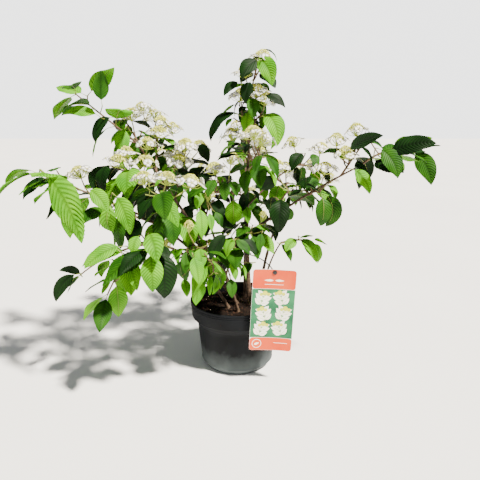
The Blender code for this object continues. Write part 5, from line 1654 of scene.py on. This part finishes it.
def cardPieces():
    half, tall, face, edge = card["width"] / 2, card["height"] / 2, card["thickness"] / 2, card["edge"]
    low, high = -tall + card["footer"], tall - card["header"]
    sheet, bands, panel, leafInk, cream, lime = [bmesh.new() for _ in range(6)]
    cardLayer(sheet, roundedBox(-half, -tall, half, tall, card["corner"]), -face, face)
    inner, line = card["corner"] - edge, card["line"]
    top = roundedBox(-half + edge, high + line, half - edge, tall - edge, inner)
    bottom = roundedBox(-half + edge, -tall + edge, half - edge, low - line, inner)
    lay(bands, [(x, max(z, high + line)) for x, z in top])
    lay(bands, [(x, min(z, low - line)) for x, z in bottom])
    lay(panel, box(-half + edge, low, half - edge, high))
    wide, step = sprigs["pitch"]
    for row in range(sprigs["rows"]):
        for column in range(sprigs["columns"]):
            heading = 90 + (sprigs["lean"] if (row + column) % 2 else -sprigs["lean"])
            x = (column - 0.5) * wide + (sprigs["shift"] if row % 2 else -sprigs["shift"])
            z = low + sprigs["first"] + row * step + sprigs["shift"] * column
            printSprig(x, z, heading, leafInk, cream, lime)
    printOrnaments(-half, -tall, tall, cream, bands)
    level = tall - card["holeDrop"]
    hole = meshObject(
        "card_hole_guide", *tube([onCard(0, level, y) for y in (-0.01, 0.01)], [card["hole"]] * 2, 24))
    for name, shape, material, punched in (
            ("card_white_sheet", sheet, "card_white", True),
            ("card_print_coral", bands, "card_coral_ink", True),
            ("card_print_panel", panel, "card_teal_ink", False),
            ("card_print_leaves", leafInk, "card_leaf_ink", False),
            ("card_print_cream", cream, "card_cream_ink", False),
            ("card_print_berries", lime, "card_lime_ink", False)):
        obj = shapeObject(name + "_flat", shape)
        if punched:
            cutOut(obj, hole)
        finish(obj, name, "card", ["care_card"], skins[material])
    bpy.data.objects.remove(hole)


cardPieces()

# Tie: a black plastic ring round the main stem, its tail through the card's hole to a flat button, whose
# rings are given as (share of its radius, height)
tie = {
    "radius": 0.0011, "ringShare": 0.30, "clear": 0.0002, "opening": -62, "links": 13, "linkTurn": 25,
    "behind": (-0.002, 0.006, 0.001), "bend": (0.004, 0, 0.004), "entry": 0.0018, "end": 0.0012,
    "knob": 0.0042, "button": ((0.90, 0.0001), (1.0, 0.0004), (0.98, 0.0010), (0.80, 0.0014), (0.30, 0.0015))}


def tiePieces():
    stemRadius = limbRadius("main_stem", tie["ringShare"])
    ringRadius = stemRadius + growth["gap"] + tie["radius"] + tie["clear"]
    stem = limbPoint("main_stem", tie["ringShare"])
    stem += direction(tie["opening"], 0) * (stemRadius * (1 - barkwork["slim"]))
    turns = [tie["opening"] - tie["linkTurn"] * k for k in range(tie["links"] - 1, -1, -1)]
    ring = [stem + direction(turn, 0) * ringRadius for turn in turns]
    hole = onCard(0, card["height"] / 2 - card["holeDrop"], 0)
    hole += Vector((0, 0, card["hole"] - tie["radius"] - growth["gap"]))
    front = hole - Vector((0, card["thickness"] / 2 + growth["gap"], 0))
    behind = hole + Vector(tie["behind"])
    route = [bowed(ring[-1], behind, tie["bend"], k / 6) for k in range(1, 7)]
    ends = [hole + Vector((0, tie["entry"], 0)), front, front - Vector((0, tie["end"], 0))]
    path = [(point, tie["radius"]) for point in ring + route + ends]
    tubePiece("tie_strap", [path], 12, 0.0012, "black_nylon", "tie_plastic", ["card_tie"])
    spots = [front - Vector((0, forward, 0)) for _, forward in tie["button"]]
    button = meshObject("button", *tube(spots, [tie["knob"] * share for share, _ in tie["button"]], 28))
    finish(button, "tie_button", "tie_plastic", ["card_tie"], skins["black_nylon"], crisp=50)


tiePieces()
print("card and tie made")

# Studio: a pale floor, an even pale surround and a sun-like key light from the right, front and above
studio = {
    "floor": 12.0, "pitch": 75.4, "lens": 34.5, "sensor": 36.0, "keyStrength": 15.0, "keySoftness": 4.5,
    "keyColour": "#FFF6E8", "surround": 0.34, "surroundColour": "#F6F8FA", "backdrop": 3.2,
    "backdropColour": "#FBFBFA"}

key = bpy.data.lights.new("key_light", "SUN")
key.energy = studio["keyStrength"]
key.angle = math.radians(studio["keySoftness"])
key.color = linear(studio["keyColour"])[:3]
linked("key_light", key).rotation_euler = (-keyWay).to_track_quat("-Z", "Y").to_euler()
world = bpy.data.worlds.new("pale_room")
bpy.context.scene.world = world
world.use_nodes = True
room = world.node_tree
surround = room.nodes["Background"]
surround.inputs["Color"].default_value = linear(studio["surroundColour"])
surround.inputs["Strength"].default_value = studio["surround"]
backdrop = addNode(room, "ShaderNodeBackground", {
    "Color": linear(studio["backdropColour"]), "Strength": studio["backdrop"]})
seen = addNode(room, "ShaderNodeLightPath", out="Is Camera Ray")
shown = addNode(room, "ShaderNodeMixShader", {0: seen, 1: surround.outputs[0], 2: backdrop})
room.links.new(shown, room.nodes["World Output"].inputs["Surface"])
side = studio["floor"]
floor = meshObject(
    "studio_floor", [(-side, -side, 0), (side, -side, 0), (side, side, 0), (-side, side, 0)], [(0, 1, 2, 3)])
floor.data.materials.append(mottled("matt_white_floor", "#F1F1F0", "#F6F6F5", 0.5, 0.9))

camera = linked("camera", bpy.data.cameras.new("camera"))
camera.location = cameraPlace
camera.rotation_euler = (math.radians(studio["pitch"]), 0, 0)
camera.data.lens = studio["lens"]
camera.data.sensor_width = studio["sensor"]
bpy.context.scene.camera = camera
print("studio set")
